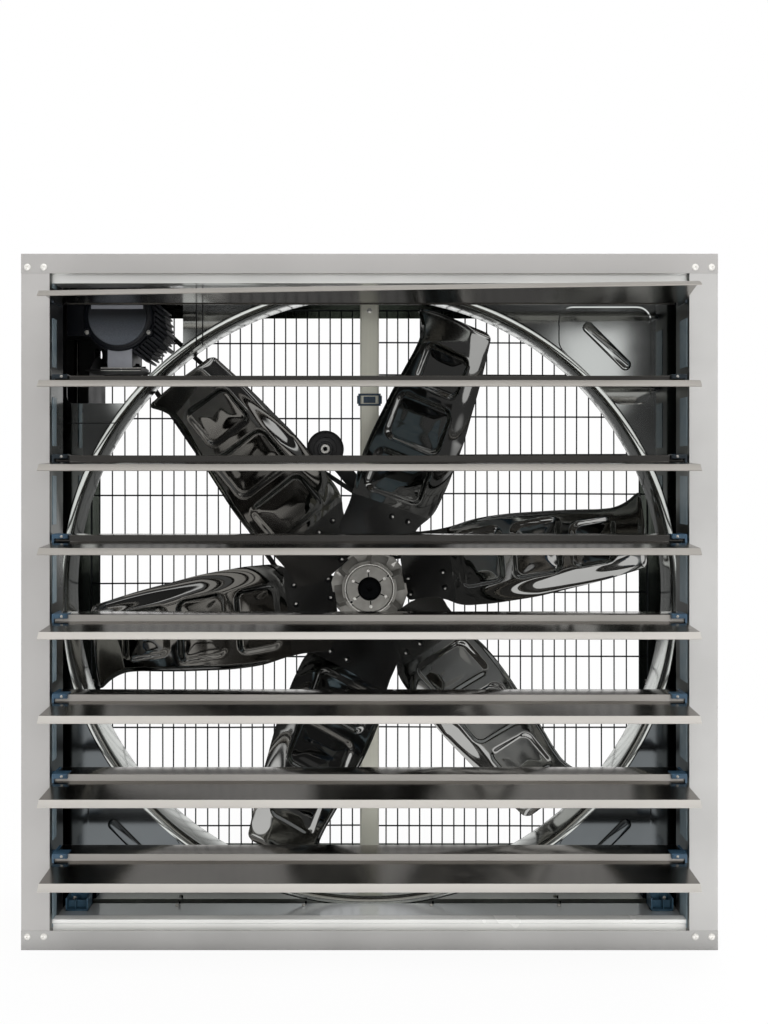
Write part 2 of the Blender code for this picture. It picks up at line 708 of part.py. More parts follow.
def add_guards(finish):
    outer = HOUSING_WIDTH / 2 - REAR_SIDE_FLANGE + GUARD_BORDER_LAP
    inner = GUARD_MIDDLE_GAP / 2
    low = REAR_RAIL_FLANGE - GUARD_BORDER_LAP
    high = HOUSING_HEIGHT - low
    add_part("left_guard", guard_mesh(-outer, -inner, low, high), finish("guard"))
    add_part("right_guard", guard_mesh(inner, outer, low, high), finish("guard"))


def guard_front():
    return setback(HOUSING_DEPTH) - PANEL_SHEET - SEAT_GAP - GUARD_WIRE


def bar_front():
    return guard_front() - SEAT_GAP - BAR_DEPTH


def add_support_bar(finish):
    low = PANEL_SHEET + SEAT_GAP
    outline = channel(-BAR_WIDTH / 2, BAR_WIDTH / 2, bar_front(), 1, BAR_DEPTH, BAR_DEPTH, BAR_SHEET)
    add_part("support_bar", prism(outline, "Z", low, HOUSING_HEIGHT - low), finish("support_bar"))


def add_bearing_housing(finish):
    back = bar_front() - SEAT_GAP
    front = setback(HOUSING_DEPTH - BEARING_REAR_ROOM)
    bore = SHAFT_RADIUS + SHAFT_CLEARANCE
    barrel = turned([(bore, front), (bore, back), (BEARING_RADIUS, back), (BEARING_RADIUS, front)],
                    0, FAN_AXIS_HEIGHT, SMALL_SEGMENTS)
    foot = box(-BEARING_FOOT_WIDTH / 2, BEARING_FOOT_WIDTH / 2, back - BEARING_FOOT_THICKNESS, back,
               FAN_AXIS_HEIGHT - BEARING_FOOT_HEIGHT / 2, FAN_AXIS_HEIGHT + BEARING_FOOT_HEIGHT / 2)
    foot = cut(foot, prism(circle(0, FAN_AXIS_HEIGHT, (bore + BEARING_RADIUS) / 2, SMALL_SEGMENTS),
                           "Y", back - BEARING_FOOT_THICKNESS - OVERRUN, back + OVERRUN))
    add_part("bearing_housing", joined(barrel, foot), finish("bearing_housing"), smooth=35)


def add_fan_shaft(finish, axis):
    face = HUB_POCKET - SHAFT_HEAD
    head_front = setback(HUB_FACE_SETBACK + face)
    head_back = head_front + SHAFT_HEAD - SEAT_GAP
    end = setback(HOUSING_DEPTH - SHAFT_END_REAR_ROOM)
    profile = [(0, head_front), (SHAFT_HEAD_RADIUS, head_front), (SHAFT_HEAD_RADIUS, head_back),
               (SHAFT_RADIUS, head_back), (SHAFT_RADIUS, end), (0, end)]
    add_part("fan_shaft", turned(profile, 0, 0, SMALL_SEGMENTS), finish("fan_shaft"),
             parent=axis, smooth=35)


def blade_pitch(radius):
    """Pitch angle along the blade: constant on the flat root, then easing to the tip."""
    share = max(0.0, (radius - BLADE_FLAT_RADIUS) / (BLADE_TIP_RADIUS - BLADE_FLAT_RADIUS))
    return BLADE_ROOT_PITCH + (BLADE_TIP_PITCH - BLADE_ROOT_PITCH) * share


def hub_arm(angle):
    """One flat arm of the hub, set at the blades' root pitch."""
    half = HUB_ARM_WIDTH / 2
    arm = box(HUB_ARM_INNER, HUB_ARM_OUTER, -HUB_ARM_THICKNESS / 2, HUB_ARM_THICKNESS / 2,
              HUB_ARM_OFFSET - half, HUB_ARM_OFFSET + half)
    arm.transform(Matrix.Rotation(BLADE_ROOT_PITCH, 4, "X"))
    arm.transform(Matrix.Translation((0, setback(ARM_PLANE_SETBACK), 0)))
    arm.transform(Matrix.Rotation(-angle, 4, "Y"))
    return arm


def blade_angles():
    return [BLADE_FIRST_ANGLE + index * 2 * math.pi / BLADE_COUNT for index in range(BLADE_COUNT)]


def add_hub(finish, axis):
    face = setback(HUB_FACE_SETBACK)
    body_front = face + HUB_RING_HEIGHT
    body_back = body_front + HUB_BODY_DEPTH
    offset = BLADE_FIRST_ANGLE + math.pi / BLADE_COUNT
    hexagon = [(HUB_BODY_RADIUS * math.cos(offset + index * math.pi / 3),
                HUB_BODY_RADIUS * math.sin(offset + index * math.pi / 3)) for index in range(BLADE_COUNT)]
    hub = prism(hexagon, "Y", body_front, body_back)
    ring = prism(circle(0, 0, HUB_RING_RADIUS, SMALL_SEGMENTS), "Y", face, body_front + OVERRUN)
    hub = joined(hub, ring, *[hub_arm(angle) for angle in blade_angles()])
    pocket_radius = SHAFT_HEAD_RADIUS + SHAFT_CLEARANCE
    pocket = prism(circle(0, 0, pocket_radius, SMALL_SEGMENTS), "Y", face - OVERRUN, face + HUB_POCKET)
    bore = prism(circle(0, 0, SHAFT_RADIUS + SHAFT_CLEARANCE, SMALL_SEGMENTS), "Y",
                 face - OVERRUN, body_back + OVERRUN)
    add_part("hub", cut(hub, pocket, bore), finish("hub"), parent=axis)


def blade_mesh():
    """A blade along +X: flat root, wide body with a hooked tip corner, twisted and cambered."""
    solid = bmesh.new()
    root_lift = (HUB_ARM_THICKNESS + BLADE_SHEET) / 2 + SEAT_GAP
    plane = setback(ARM_PLANE_SETBACK)
    layers = [[], []]
    for length_share, left_share, right_share in BLADE_OUTLINE_SHARES:
        left = left_share * BLADE_TIP_RADIUS
        right = -right_share * BLADE_TIP_RADIUS
        nominal = BLADE_ROOT_RADIUS + length_share * (BLADE_TIP_RADIUS - BLADE_ROOT_RADIUS)
        pitch = blade_pitch(nominal)
        bulge = min(1.0, max(0.0, (nominal - BLADE_FLAT_RADIUS) / BLADE_FLAT_RADIUS))
        rows = [[], []]
        for step in range(BLADE_CHORD_STEPS + 1):
            share = step / BLADE_CHORD_STEPS
            across = left + (right - left) * share
            radius = nominal
            if length_share == 1:
                radius = math.sqrt(BLADE_TIP_RADIUS ** 2 - across ** 2)
            chord = across / math.cos(pitch)
            depth = (left - right) * BLADE_CAMBER_SHARE * bulge * 4 * share * (1 - share)
            for row, half in zip(rows, (-BLADE_SHEET / 2, BLADE_SHEET / 2)):
                lift = root_lift - depth + half
                y = plane - chord * math.sin(pitch) - lift * math.cos(pitch)
                z = chord * math.cos(pitch) - lift * math.sin(pitch)
                row.append(solid.verts.new((radius, y, z)))
        for layer, row in zip(layers, rows):
            layer.append(row)
    back, front = layers
    last = len(back) - 1
    for i in range(last):
        for j in range(BLADE_CHORD_STEPS):
            for layer in layers:
                solid.faces.new((layer[i][j], layer[i + 1][j], layer[i + 1][j + 1], layer[i][j + 1]))
        for j in (0, BLADE_CHORD_STEPS):
            solid.faces.new((back[i][j], back[i + 1][j], front[i + 1][j], front[i][j]))
    for i in (0, last):
        for j in range(BLADE_CHORD_STEPS):
            solid.faces.new((back[i][j], back[i][j + 1], front[i][j + 1], front[i][j]))
    return finished(solid, "blade")


def add_blades(finish, axis):
    blade = blade_mesh()
    for number, angle in enumerate(blade_angles(), start=1):
        add_part(f"blade_{number}", blade, finish("blade"), angle=angle, parent=axis, smooth=50)


def groove(outer, middle):
    """V-groove profile points from the front of a pulley rim to its back, as (radius, Y)."""
    root = outer - BELT_HEIGHT - GROOVE_ROOT
    slope = (BELT_TOP_WIDTH - BELT_BOTTOM_WIDTH) / 2 / BELT_HEIGHT
    half_top = BELT_TOP_WIDTH / 2 + GROOVE_CLEARANCE
    half_root = half_top - slope * (outer - root)
    return [(outer, middle - half_top), (root, middle - half_root),
            (root, middle + half_root), (outer, middle + half_top)]


def add_driven_pulley(finish, axis):
    middle = setback(BELT_SETBACK)
    outer = DRIVEN_RADIUS + BELT_HEIGHT / 2
    inner = outer - BELT_HEIGHT - GROOVE_ROOT - DRIVEN_RIM_DEPTH
    rim_front = middle - DRIVEN_RIM_WIDTH / 2
    rim_back = middle + DRIVEN_RIM_WIDTH / 2
    bore = SHAFT_RADIUS + SHAFT_CLEARANCE
    boss_front = setback(HUB_FACE_SETBACK) + HUB_RING_HEIGHT + HUB_BODY_DEPTH + SEAT_GAP
    boss_back = boss_front + DRIVEN_BOSS_LENGTH
    web = setback(HOUSING_DEPTH - DRIVEN_WEB_REAR_ROOM)
    profile = [
        (bore, boss_front), (DRIVEN_BOSS_RADIUS, boss_front), (DRIVEN_BOSS_RADIUS, web),
        (inner, rim_front), (outer, rim_front), *groove(outer, middle), (outer, rim_back),
        (inner, rim_back), (inner, rim_front + DRIVEN_WEB),
        (DRIVEN_BOSS_RADIUS, web + DRIVEN_WEB), (DRIVEN_BOSS_RADIUS, boss_back), (bore, boss_back),
    ]
    add_part("driven_pulley", turned(profile, 0, 0, PULLEY_SEGMENTS), finish("driven_pulley"),
             parent=axis, smooth=35)


def add_rotor(finish):
    axis = empty("fan_axis", 0, 0, FAN_AXIS_HEIGHT)
    add_fan_shaft(finish, axis)
    add_hub(finish, axis)
    add_blades(finish, axis)
    add_driven_pulley(finish, axis)


def idler_centre():
    """Place of the idler, as (X, Z): part of the way from the fan axis to the motor, and off that line."""
    fan = Vector((0, FAN_AXIS_HEIGHT))
    span = Vector((MOTOR_X, MOTOR_Z)) - fan
    across = Vector((span.y, -span.x)).normalized()
    return fan + span * IDLER_SPAN_SHARE + across * IDLER_OFFSET


def idler_centre_line():
    """Radius of the belt's middle line where its back runs over the idler."""
    return IDLER_RADIUS + SEAT_GAP + BELT_HEIGHT / 2


def belt_path():
    """Belt middle line with its outward normal: driven pulley, idler on the back, motor pulley."""
    wheels = [
        (Vector((MOTOR_X, MOTOR_Z)), MOTOR_PULLEY_RADIUS),
        (Vector((0, FAN_AXIS_HEIGHT)), DRIVEN_RADIUS),
        (idler_centre(), -idler_centre_line()),
    ]
    turns = []
    for index, (centre, radius) in enumerate(wheels):
        next_centre, next_radius = wheels[(index + 1) % len(wheels)]
        span = next_centre - centre
        turns.append(math.atan2(span.y, span.x) - math.acos((radius - next_radius) / span.length))
    points = []
    for index, (centre, radius) in enumerate(wheels):
        start, end = turns[index - 1], turns[index]
        sweep = (end - start) % (2 * math.pi)
        if radius < 0:
            sweep -= 2 * math.pi
        steps = max(2, math.ceil(abs(sweep) / BELT_ARC_STEP))
        for step in range(steps + 1):
            turn = start + sweep * step / steps
            normal = Vector((math.cos(turn), math.sin(turn)))
            points.append((centre + normal * radius, normal))
    return points


def add_drive_belt(finish):
    middle = setback(BELT_SETBACK)
    half = BELT_HEIGHT / 2
    solid = bmesh.new()
    rings = []
    for point, normal in belt_path():
        ring = []
        for width, height in ((BELT_TOP_WIDTH, half), (BELT_BOTTOM_WIDTH, -half)):
            place = point + normal * height
            sides = (-width / 2, width / 2) if height > 0 else (width / 2, -width / 2)
            ring += [solid.verts.new((place.x, middle + side, place.y)) for side in sides]
        rings.append(ring)
    for index, ring in enumerate(rings):
        other = rings[(index + 1) % len(rings)]
        for corner in range(4):
            following = (corner + 1) % 4
            solid.faces.new((ring[corner], ring[following], other[following], other[corner]))
    add_part("drive_belt", finished(solid, "belt"), finish("drive_belt"), smooth=35)


def add_idler(finish):
    back = bar_front() - SEAT_GAP
    front = back - ARM_THICKNESS
    middle = setback(BELT_SETBACK)
    wheel_front = middle - IDLER_WIDTH / 2
    wheel_back = middle + IDLER_WIDTH / 2
    half = ARM_WIDTH / 2
    idler_x, idler_z = idler_centre()
    direction = math.atan2(idler_z - ARM_PIVOT_Z, idler_x)
    outline = []
    ends = ((0, ARM_PIVOT_Z, direction + math.pi / 2), (idler_x, idler_z, direction - math.pi / 2))
    for x, z, start in ends:
        for step in range(9):
            turn = start + step * math.pi / 8
            outline.append((x + half * math.cos(turn), z + half * math.sin(turn)))
    bore = IDLER_STUD_RADIUS + SHAFT_CLEARANCE
    stud_end = wheel_front + IDLER_RECESS - SEAT_GAP
    stud = turned([(0, stud_end - IDLER_HEAD), (IDLER_HEAD_RADIUS, stud_end - IDLER_HEAD),
                   (IDLER_HEAD_RADIUS, stud_end), (IDLER_STUD_RADIUS, stud_end),
                   (IDLER_STUD_RADIUS, wheel_back + SEAT_GAP),
                   (IDLER_SHOULDER_RADIUS, wheel_back + SEAT_GAP),
                   (IDLER_SHOULDER_RADIUS, (front + back) / 2), (0, (front + back) / 2)],
                  idler_x, idler_z, SMALL_SEGMENTS)
    add_part("idler_arm", joined(prism(outline, "Y", front, back), stud), finish("idler_arm"), smooth=35)
    recess = wheel_front + IDLER_RECESS
    wheel = turned([(bore, recess), (IDLER_RECESS_RADIUS, recess), (IDLER_RECESS_RADIUS, wheel_front),
                    (IDLER_RADIUS, wheel_front), (IDLER_RADIUS, wheel_back), (bore, wheel_back)],
                   0, 0, SMALL_SEGMENTS)
    add_part("idler_pulley", wheel, finish("idler_pulley"), (idler_x, 0, idler_z), smooth=35)


def motor_outline():
    """Section of the motor body: a round frame with cooling fins on its open side."""
    outline = []
    pitch = (MOTOR_FIN_END - MOTOR_FIN_START) / (MOTOR_FIN_COUNT - 1)
    for index in range(MOTOR_FIN_COUNT):
        middle = MOTOR_FIN_START + index * pitch
        for radius, shift in ((MOTOR_RADIUS, -FIN_ROOT_SHARE / 2), (MOTOR_FIN_RADIUS, -FIN_TIP_SHARE / 2),
                              (MOTOR_FIN_RADIUS, FIN_TIP_SHARE / 2), (MOTOR_RADIUS, FIN_ROOT_SHARE / 2)):
            turn = middle + shift * pitch
            outline.append((MOTOR_X + radius * math.cos(turn), MOTOR_Z + radius * math.sin(turn)))
    start = MOTOR_FIN_END + pitch
    end = MOTOR_FIN_START - pitch + 2 * math.pi
    steps = 20
    for step in range(steps + 1):
        turn = start + (end - start) * step / steps
        outline.append((MOTOR_X + MOTOR_RADIUS * math.cos(turn), MOTOR_Z + MOTOR_RADIUS * math.sin(turn)))
    return outline


def add_motor_body(finish):
    front = setback(MOTOR_BODY_SETBACK)
    back = front + MOTOR_BODY_LENGTH
    sole = MOTOR_Z - FOOT_DROP
    waist = MOTOR_Z - (MOTOR_RADIUS + MOTOR_BORE) / 2
    body = prism(motor_outline(), "Y", front, back)
    foot = box(MOTOR_X - FOOT_WIDTH / 2, MOTOR_X + FOOT_WIDTH / 2, front, back, sole, waist)
    base = box(MOTOR_X - FOOT_BASE_WIDTH / 2, MOTOR_X + FOOT_BASE_WIDTH / 2, front, back,
               sole, sole + FOOT_BASE)
    bore = prism(circle(MOTOR_X, MOTOR_Z, MOTOR_BORE, SMALL_SEGMENTS), "Y",
                 front - OVERRUN, back + OVERRUN)
    add_part("motor_body", cut(joined(body, foot, base), bore), finish("motor_body"), smooth=35)


def add_motor_bells(finish):
    front = setback(MOTOR_FRONT_SETBACK)
    seat = setback(MOTOR_BODY_SETBACK) - SEAT_GAP
    disc = front - MOTOR_DISC_RISE
    bore = SHAFT_RADIUS + SHAFT_CLEARANCE
    pocket = setback(ROTOR_FRONT_SETBACK) - SEAT_GAP
    profile = [(0, disc), (MOTOR_DISC_RADIUS, disc), (MOTOR_DISC_RADIUS, front),
               (MOTOR_BELL_RADIUS, front), (MOTOR_BELL_RADIUS, seat), (bore, seat),
               (bore, pocket), (0, pocket)]
    add_part("motor_front_bell", turned(profile, MOTOR_X, MOTOR_Z, SMALL_SEGMENTS),
             finish("motor_front_bell"), smooth=35)
    rear = setback(MOTOR_BODY_SETBACK + MOTOR_BODY_LENGTH) + SEAT_GAP
    profile = [(bore, rear), (MOTOR_BELL_RADIUS, rear), (MOTOR_BELL_RADIUS, rear + MOTOR_REAR_BELL),
               (bore, rear + MOTOR_REAR_BELL)]
    add_part("motor_rear_bell", turned(profile, MOTOR_X, MOTOR_Z, SMALL_SEGMENTS),
             finish("motor_rear_bell"), smooth=35)


def add_motor_rotor(finish, axis):
    start = setback(ROTOR_FRONT_SETBACK)
    core = setback(ROTOR_CORE_SETBACK)
    core_end = core + ROTOR_CORE_LENGTH
    end = setback(HOUSING_DEPTH - MOTOR_SHAFT_REAR_ROOM)
    profile = [(0, start), (SHAFT_RADIUS, start), (SHAFT_RADIUS, core), (ROTOR_CORE_RADIUS, core),
               (ROTOR_CORE_RADIUS, core_end), (SHAFT_RADIUS, core_end), (SHAFT_RADIUS, end), (0, end)]
    add_part("motor_rotor", turned(profile, 0, 0, SMALL_SEGMENTS), finish("motor_rotor"),
             parent=axis, smooth=35)


def add_motor_pulley(finish, axis):
    middle = setback(BELT_SETBACK)
    outer = MOTOR_PULLEY_RADIUS + BELT_HEIGHT / 2
    bore = SHAFT_RADIUS + SHAFT_CLEARANCE
    front = middle - MOTOR_PULLEY_WIDTH / 2
    back = middle + MOTOR_PULLEY_WIDTH / 2
    profile = [(bore, front), (outer, front), *groove(outer, middle), (outer, back), (bore, back)]
    add_part("motor_pulley", turned(profile, 0, 0, SMALL_SEGMENTS), finish("motor_pulley"),
             parent=axis, smooth=35)


def add_motor_bracket(finish):
    """Bracket behind the window: an upright side plate, its ear on the guard border and a shelf."""
    plate_x = MOTOR_X - BRACKET_PLATE_OFFSET
    inner = plate_x + SHELF_THICKNESS
    back = guard_front() - SEAT_GAP
    shelf_top = MOTOR_Z - FOOT_DROP - SEAT_GAP
    low = MOTOR_Z - BRACKET_DROP
    high = MOTOR_Z + BRACKET_RISE
    front = setback(HOUSING_DEPTH - BRACKET_FRONT_REAR_ROOM)
    notch = setback(HOUSING_DEPTH - BRACKET_NOTCH_REAR_ROOM)
    side = [
        (back, low), (back, high), (notch, high), (notch, MOTOR_Z - BRACKET_NOTCH_TOP_DROP),
        (front, MOTOR_Z - BRACKET_NOTCH_DROP), (front, low),
    ]
    plate = prism(side, "X", plate_x, inner)
    shelf = box(plate_x, MOTOR_X + SHELF_RIGHT_REACH, setback(SHELF_FRONT_SETBACK),
                setback(BELT_SETBACK - SHELF_BELT_ROOM), shelf_top - SHELF_THICKNESS, shelf_top)
    ear = box(plate_x - BRACKET_EAR_REACH, inner, back - SHELF_THICKNESS, back, low, high)
    add_part("motor_bracket", joined(plate, shelf, ear), finish("motor_bracket"))


def add_terminal_box(finish):
    x0 = TERMINAL_BOX_SIDE_MARGIN - HOUSING_WIDTH / 2
    x1 = MOTOR_X - MOTOR_RADIUS - SEAT_GAP
    y0 = setback(MOTOR_BODY_SETBACK + TERMINAL_BOX_FRONT_MARGIN)
    y1 = y0 + MOTOR_BODY_LENGTH * TERMINAL_BOX_LENGTH_SHARE
    z0 = MOTOR_Z - TERMINAL_BOX_HEIGHT / 2
    middle_x = (x0 + x1) / 2
    middle_y = (y0 + y1) / 2
    shell = box(x0, x1, y0, y1, z0, z0 + TERMINAL_BOX_HEIGHT)
    gland = prism(circle(middle_x, middle_y, GLAND_RADIUS, PIN_SEGMENTS), "Z",
                  z0 - GLAND_LENGTH, z0 + OVERRUN)
    inlet = prism(circle(middle_x, middle_y, GLAND_BORE, PIN_SEGMENTS), "Z",
                  z0 - GLAND_LENGTH - OVERRUN, z0 - GLAND_LENGTH + GLAND_BORE_DEPTH)
    add_part("terminal_box", cut(joined(shell, gland), inlet), finish("terminal_box"))


def add_motor(finish):
    add_motor_body(finish)
    add_motor_bells(finish)
    axis = empty("motor_axis", MOTOR_X, 0, MOTOR_Z)
    add_motor_rotor(finish, axis)
    add_motor_pulley(finish, axis)
    add_motor_bracket(finish)
    add_terminal_box(finish)


FINISHES = {
    "top_panel": (GALVANISED, 0.45, 1.0), "bottom_panel": (GALVANISED, 0.45, 1.0),
    "left_panel": (GALVANISED, 0.45, 1.0), "right_panel": (GALVANISED, 0.45, 1.0),
    "orifice_plate": (GALVANISED, 0.38, 1.0),
    "left_jamb": (GALVANISED, 0.40, 1.0), "right_jamb": (GALVANISED, 0.40, 1.0),
    "top_rail": (GALVANISED, 0.35, 1.0), "bottom_rail": (GALVANISED, 0.35, 1.0),
    "louvre": (GALVANISED, 0.30, 1.0), "louvre_bush": (BLUE_PLASTIC, 0.45, 0.0),
    "tie_rod": (BLUE_PLASTIC, 0.50, 0.0), "corner_guide": (BLUE_PLASTIC, 0.45, 0.0),
    "guard": (WIRE_ZINC, 0.45, 1.0), "support_bar": (GALVANISED, 0.35, 1.0),
    "bearing_housing": (BLACK_PAINT, 0.50, 0.0), "fan_shaft": (BLACK_PAINT, 0.40, 0.0),
    "hub": (CAST_ALUMINIUM, 0.42, 1.0), "blade": (STAINLESS, 0.08, 1.0),
    "driven_pulley": (BLACK_PAINT, 0.50, 0.0), "drive_belt": (BLACK_RUBBER, 0.70, 0.0),
    "idler_arm": (BLACK_PAINT, 0.50, 0.0), "idler_pulley": (BLACK_PAINT, 0.45, 0.0),
    "motor_body": (MOTOR_PAINT, 0.45, 0.0), "motor_front_bell": (MOTOR_PAINT, 0.45, 0.0),
    "motor_rear_bell": (MOTOR_PAINT, 0.45, 0.0), "motor_rotor": (STAINLESS, 0.35, 1.0),
    "motor_pulley": (CAST_ALUMINIUM, 0.40, 1.0), "motor_bracket": (BLACK_PAINT, 0.50, 0.0),
    "terminal_box": (MOTOR_PAINT, 0.50, 0.0),
}


def main():
    clear_scene()
    made = {name: material(name, *values) for name, values in FINISHES.items()}
    finish = made.__getitem__
    add_rail_panels(finish)
    add_side_panels(finish)
    add_orifice_plate(finish)
    add_jambs(finish)
    add_shutter_rails(finish)
    add_shutter(finish)
    add_tie_rods(finish)
    add_corner_guides(finish)
    add_guards(finish)
    add_support_bar(finish)
    add_bearing_housing(finish)
    add_rotor(finish)
    add_drive_belt(finish)
    add_idler(finish)
    add_motor(finish)


main()
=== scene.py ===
"""Looks of a square belt-driven ventilation fan with an opening shutter, built around its CAD frame.

Metres, +Z up. The shutter faces -Y and the wire guard +Y; depths are measured from the front flange.
"""
import math
import random

import bmesh
import bpy
import numpy as np
from mathutils import Matrix, Vector


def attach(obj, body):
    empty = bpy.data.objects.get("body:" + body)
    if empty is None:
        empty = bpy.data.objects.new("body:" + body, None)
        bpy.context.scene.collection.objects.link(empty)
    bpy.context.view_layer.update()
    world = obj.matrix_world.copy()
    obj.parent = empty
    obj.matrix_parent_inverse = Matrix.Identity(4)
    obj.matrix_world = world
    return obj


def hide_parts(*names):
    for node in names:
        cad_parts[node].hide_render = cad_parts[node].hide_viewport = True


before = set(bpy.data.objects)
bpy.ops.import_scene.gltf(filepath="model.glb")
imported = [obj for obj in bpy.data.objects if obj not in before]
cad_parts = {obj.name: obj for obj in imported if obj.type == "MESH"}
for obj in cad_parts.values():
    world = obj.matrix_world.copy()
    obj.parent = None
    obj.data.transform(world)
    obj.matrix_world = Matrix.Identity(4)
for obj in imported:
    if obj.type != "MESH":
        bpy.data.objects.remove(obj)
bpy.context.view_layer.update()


def at(depth):
    """World Y of a place this deep behind the front flange."""
    return depth - DEPTH / 2


# Sizes that the pieces share
WIDTH = 1.38
HEIGHT = 1.38
DEPTH = 0.4
SHEET = 0.0012
FRONT_FLANGE = 0.039
REAR_FLANGE = 0.072
UPRIGHT = (0.0015, HEIGHT - 0.0015)
RIVETS = [(side * x, z) for side in (-1, 1) for x in (0.6775, 0.645) for z in (0.0272, HEIGHT - 0.0272)]
AXIS_HEIGHT = 0.69
AXIS = (0, 0, AXIS_HEIGHT)
THROAT_RADIUS = 0.635
PLATE_DEPTH = 0.123
OPENING_HALF = 0.6325
LOUVRES = 8
LOUVRE_PITCH = 0.1573
LOUVRE_FIRST = 0.187
LOUVRE_HALF = 0.62
PIVOT_DEPTH = 0.02
CRANK_END = 0.64
MOTOR_X = -0.544
MOTOR_Z = 1.284
IDLER_X = -0.101
IDLER_Z = 0.9995
ARM_FOOT_Z = 0.88
BELT_DEPTH = 0.335
BAR_FACE = at(0.3729)
GUARD_DEPTH = 0.397

# Pressed field of a free plate corner and the pocket in it: sides as (outward angle, distance from the axis)
FIELD_SIDES = [(0, 0.591), (90, 0.604), (180, -0.396), (225, -0.6474), (270, -0.3985)]
POCKET_SIDES = [(-45, 0.0505), (45, 0.7323), (135, 0.0835), (225, -0.7083)]

# Blades: turn of each, pitch of its arm and tip, and the width to the left and right of its line
BLADE_TURNS = [10 + 60 * step for step in range(6)]
HUB_FRONT = at(0.23)
ARM_PLANE = at(0.262)
PITCH_ROOT = math.radians(36)
PITCH_TIP = math.radians(26)
ROOT_RADIUS = 0.078
TIP_RADIUS = 0.625
FLAT_RADIUS = 0.186
BLADE_RADII = (0.078, 0.104, 0.135, 0.164, 0.19, 0.25, 0.3125, 0.3875, 0.444, 0.4905, 0.531, 0.5625, 0.5905,
               0.625)
BLADE_LEFT = (0.066, 0.108, 0.11, 0.1085, 0.1095, 0.1175, 0.1172, 0.11, 0.1031, 0.0962, 0.09, 0.0888, 0.0962,
              0.1162)
BLADE_RIGHT = (0.045, 0.045, 0.05, 0.058, 0.074, 0.0838, 0.0844, 0.0819, 0.0775, 0.0744, 0.0706, 0.0669,
               0.0631, 0.0588)
# Raised pockets of a blade: two radii, two distances across and the corner radius
POCKETS = ((0.206, 0.302, -0.04, 0.092, 0.02), (0.326, 0.434, -0.044, 0.088, 0.022),
           (0.458, 0.556, -0.04, 0.066, 0.02))


# Materials

def linear(code):
    """Linear colour of an sRGB hex value."""
    parts = [int(code[place:place + 2], 16) / 255 for place in (1, 3, 5)]
    return [part / 12.92 if part <= 0.04045 else ((part + 0.055) / 1.055) ** 2.4 for part in parts] + [1.0]


def add(tree, kind, settings=(), **inputs):
    """Add a node, set its properties, and link or set each input; _2 means the third input."""
    made = tree.nodes.new("ShaderNode" + kind)
    for name, value in dict(settings).items():
        setattr(made, name, value)
    for name, value in inputs.items():
        socket = made.inputs[int(name[1:])] if name[1:].isdigit() else made.inputs[name.replace("_", " ")]
        if isinstance(value, bpy.types.NodeSocket):
            tree.links.new(value, socket)
        else:
            socket.default_value = value
    return made


def reckon(tree, operation, *values):
    """A math node over values or outputs."""
    inputs = {f"_{place}": value for place, value in enumerate(values)}
    return add(tree, "Math", {"operation": operation}, **inputs).outputs[0]


def between(tree, share, first, second):
    """A value between two others."""
    return add(tree, "Mix", {"data_type": "FLOAT"}, Factor=share, A=first, B=second).outputs[0]


def blend(tree, share, low, high):
    """A colour between two others, each a list or an output."""
    return add(tree, "Mix", {"data_type": "RGBA"}, Factor=share, _6=low, _7=high).outputs[2]


def place(tree, scale):
    """Object coordinates stretched by a scale for each axis."""
    return add(tree, "Mapping", Scale=scale, Vector=add(tree, "TexCoord").outputs["Object"]).outputs["Vector"]


def noise(tree, size, detail, scale=(1, 1, 1)):
    return add(tree, "TexNoise", Scale=size, Detail=detail, Vector=place(tree, scale)).outputs["Fac"]


def spread(tree, source, low, high, start=0.3, end=0.7):
    """Spread a pattern's middle range between two values."""
    made = add(tree, "MapRange", From_Min=start, From_Max=end, To_Min=low, To_Max=high, Value=source)
    return made.outputs["Result"]


def surface(name, **values):
    """A material with a Principled shader; its values are set on the shader's own sockets."""
    made = bpy.data.materials.new(name)
    made.use_nodes = True
    shader = made.node_tree.nodes["Principled BSDF"]
    for key, value in values.items():
        shader.inputs[key].default_value = value
    return made, made.node_tree, shader


def dress(tree, shader, tone, roughness, relief=None, distance=0.0, strength=0.0):
    """Link a shader's colour, roughness and relief."""
    tree.links.new(tone, shader.inputs["Base Color"])
    tree.links.new(roughness, shader.inputs["Roughness"])
    if relief:
        made = add(tree, "Bump", Distance=distance, Strength=strength, Height=relief)
        tree.links.new(made.outputs["Normal"], shader.inputs["Normal"])


def mottled(name, low, high, cloud, rough, grain=(), **values):
    """One cloudy pattern in tone and roughness, with or without a fine grain in relief.

    cloud is (size, detail), rough the two ends of the roughness, grain (size, detail, depth, strength).
    """
    made, tree, shader = surface(name, **values)
    pattern = noise(tree, *cloud)
    tone = blend(tree, spread(tree, pattern, 0.0, 1.0), linear(low), linear(high))
    relief = [noise(tree, *grain[:2]), *grain[2:]] if grain else []
    dress(tree, shader, tone, spread(tree, pattern, *rough), *relief)
    return made


def galvanised(name, low, high, roughness, grain_axis, streak=0.04, wave=0.05, metallic=1.0):
    """Hot-dip galvanised steel sheet, skin-passed: a soft grey with rolling grain and faint spangle."""
    made, tree, shader = surface(name, Metallic=metallic)
    scale = [1.0, 1.0, 1.0]
    scale[grain_axis] = 0.02
    # rolling lines are 0.1 mm apart on the real sheet, drawn at about 1.5 mm so that they show
    grain = noise(tree, 650.0, 4.0, scale)
    cloud = noise(tree, 5.0, 3.0)
    share = spread(tree, reckon(tree, "MULTIPLY_ADD", grain, streak, cloud), 0.0, 1.0, 0.35, 0.75)
    rough = spread(tree, cloud, roughness - 0.03, roughness + 0.04)
    tone = blend(tree, share, linear(low), linear(high))
    dress(tree, shader, tone, rough, noise(tree, 7.0, 2.0), 0.001, wave)
    return made


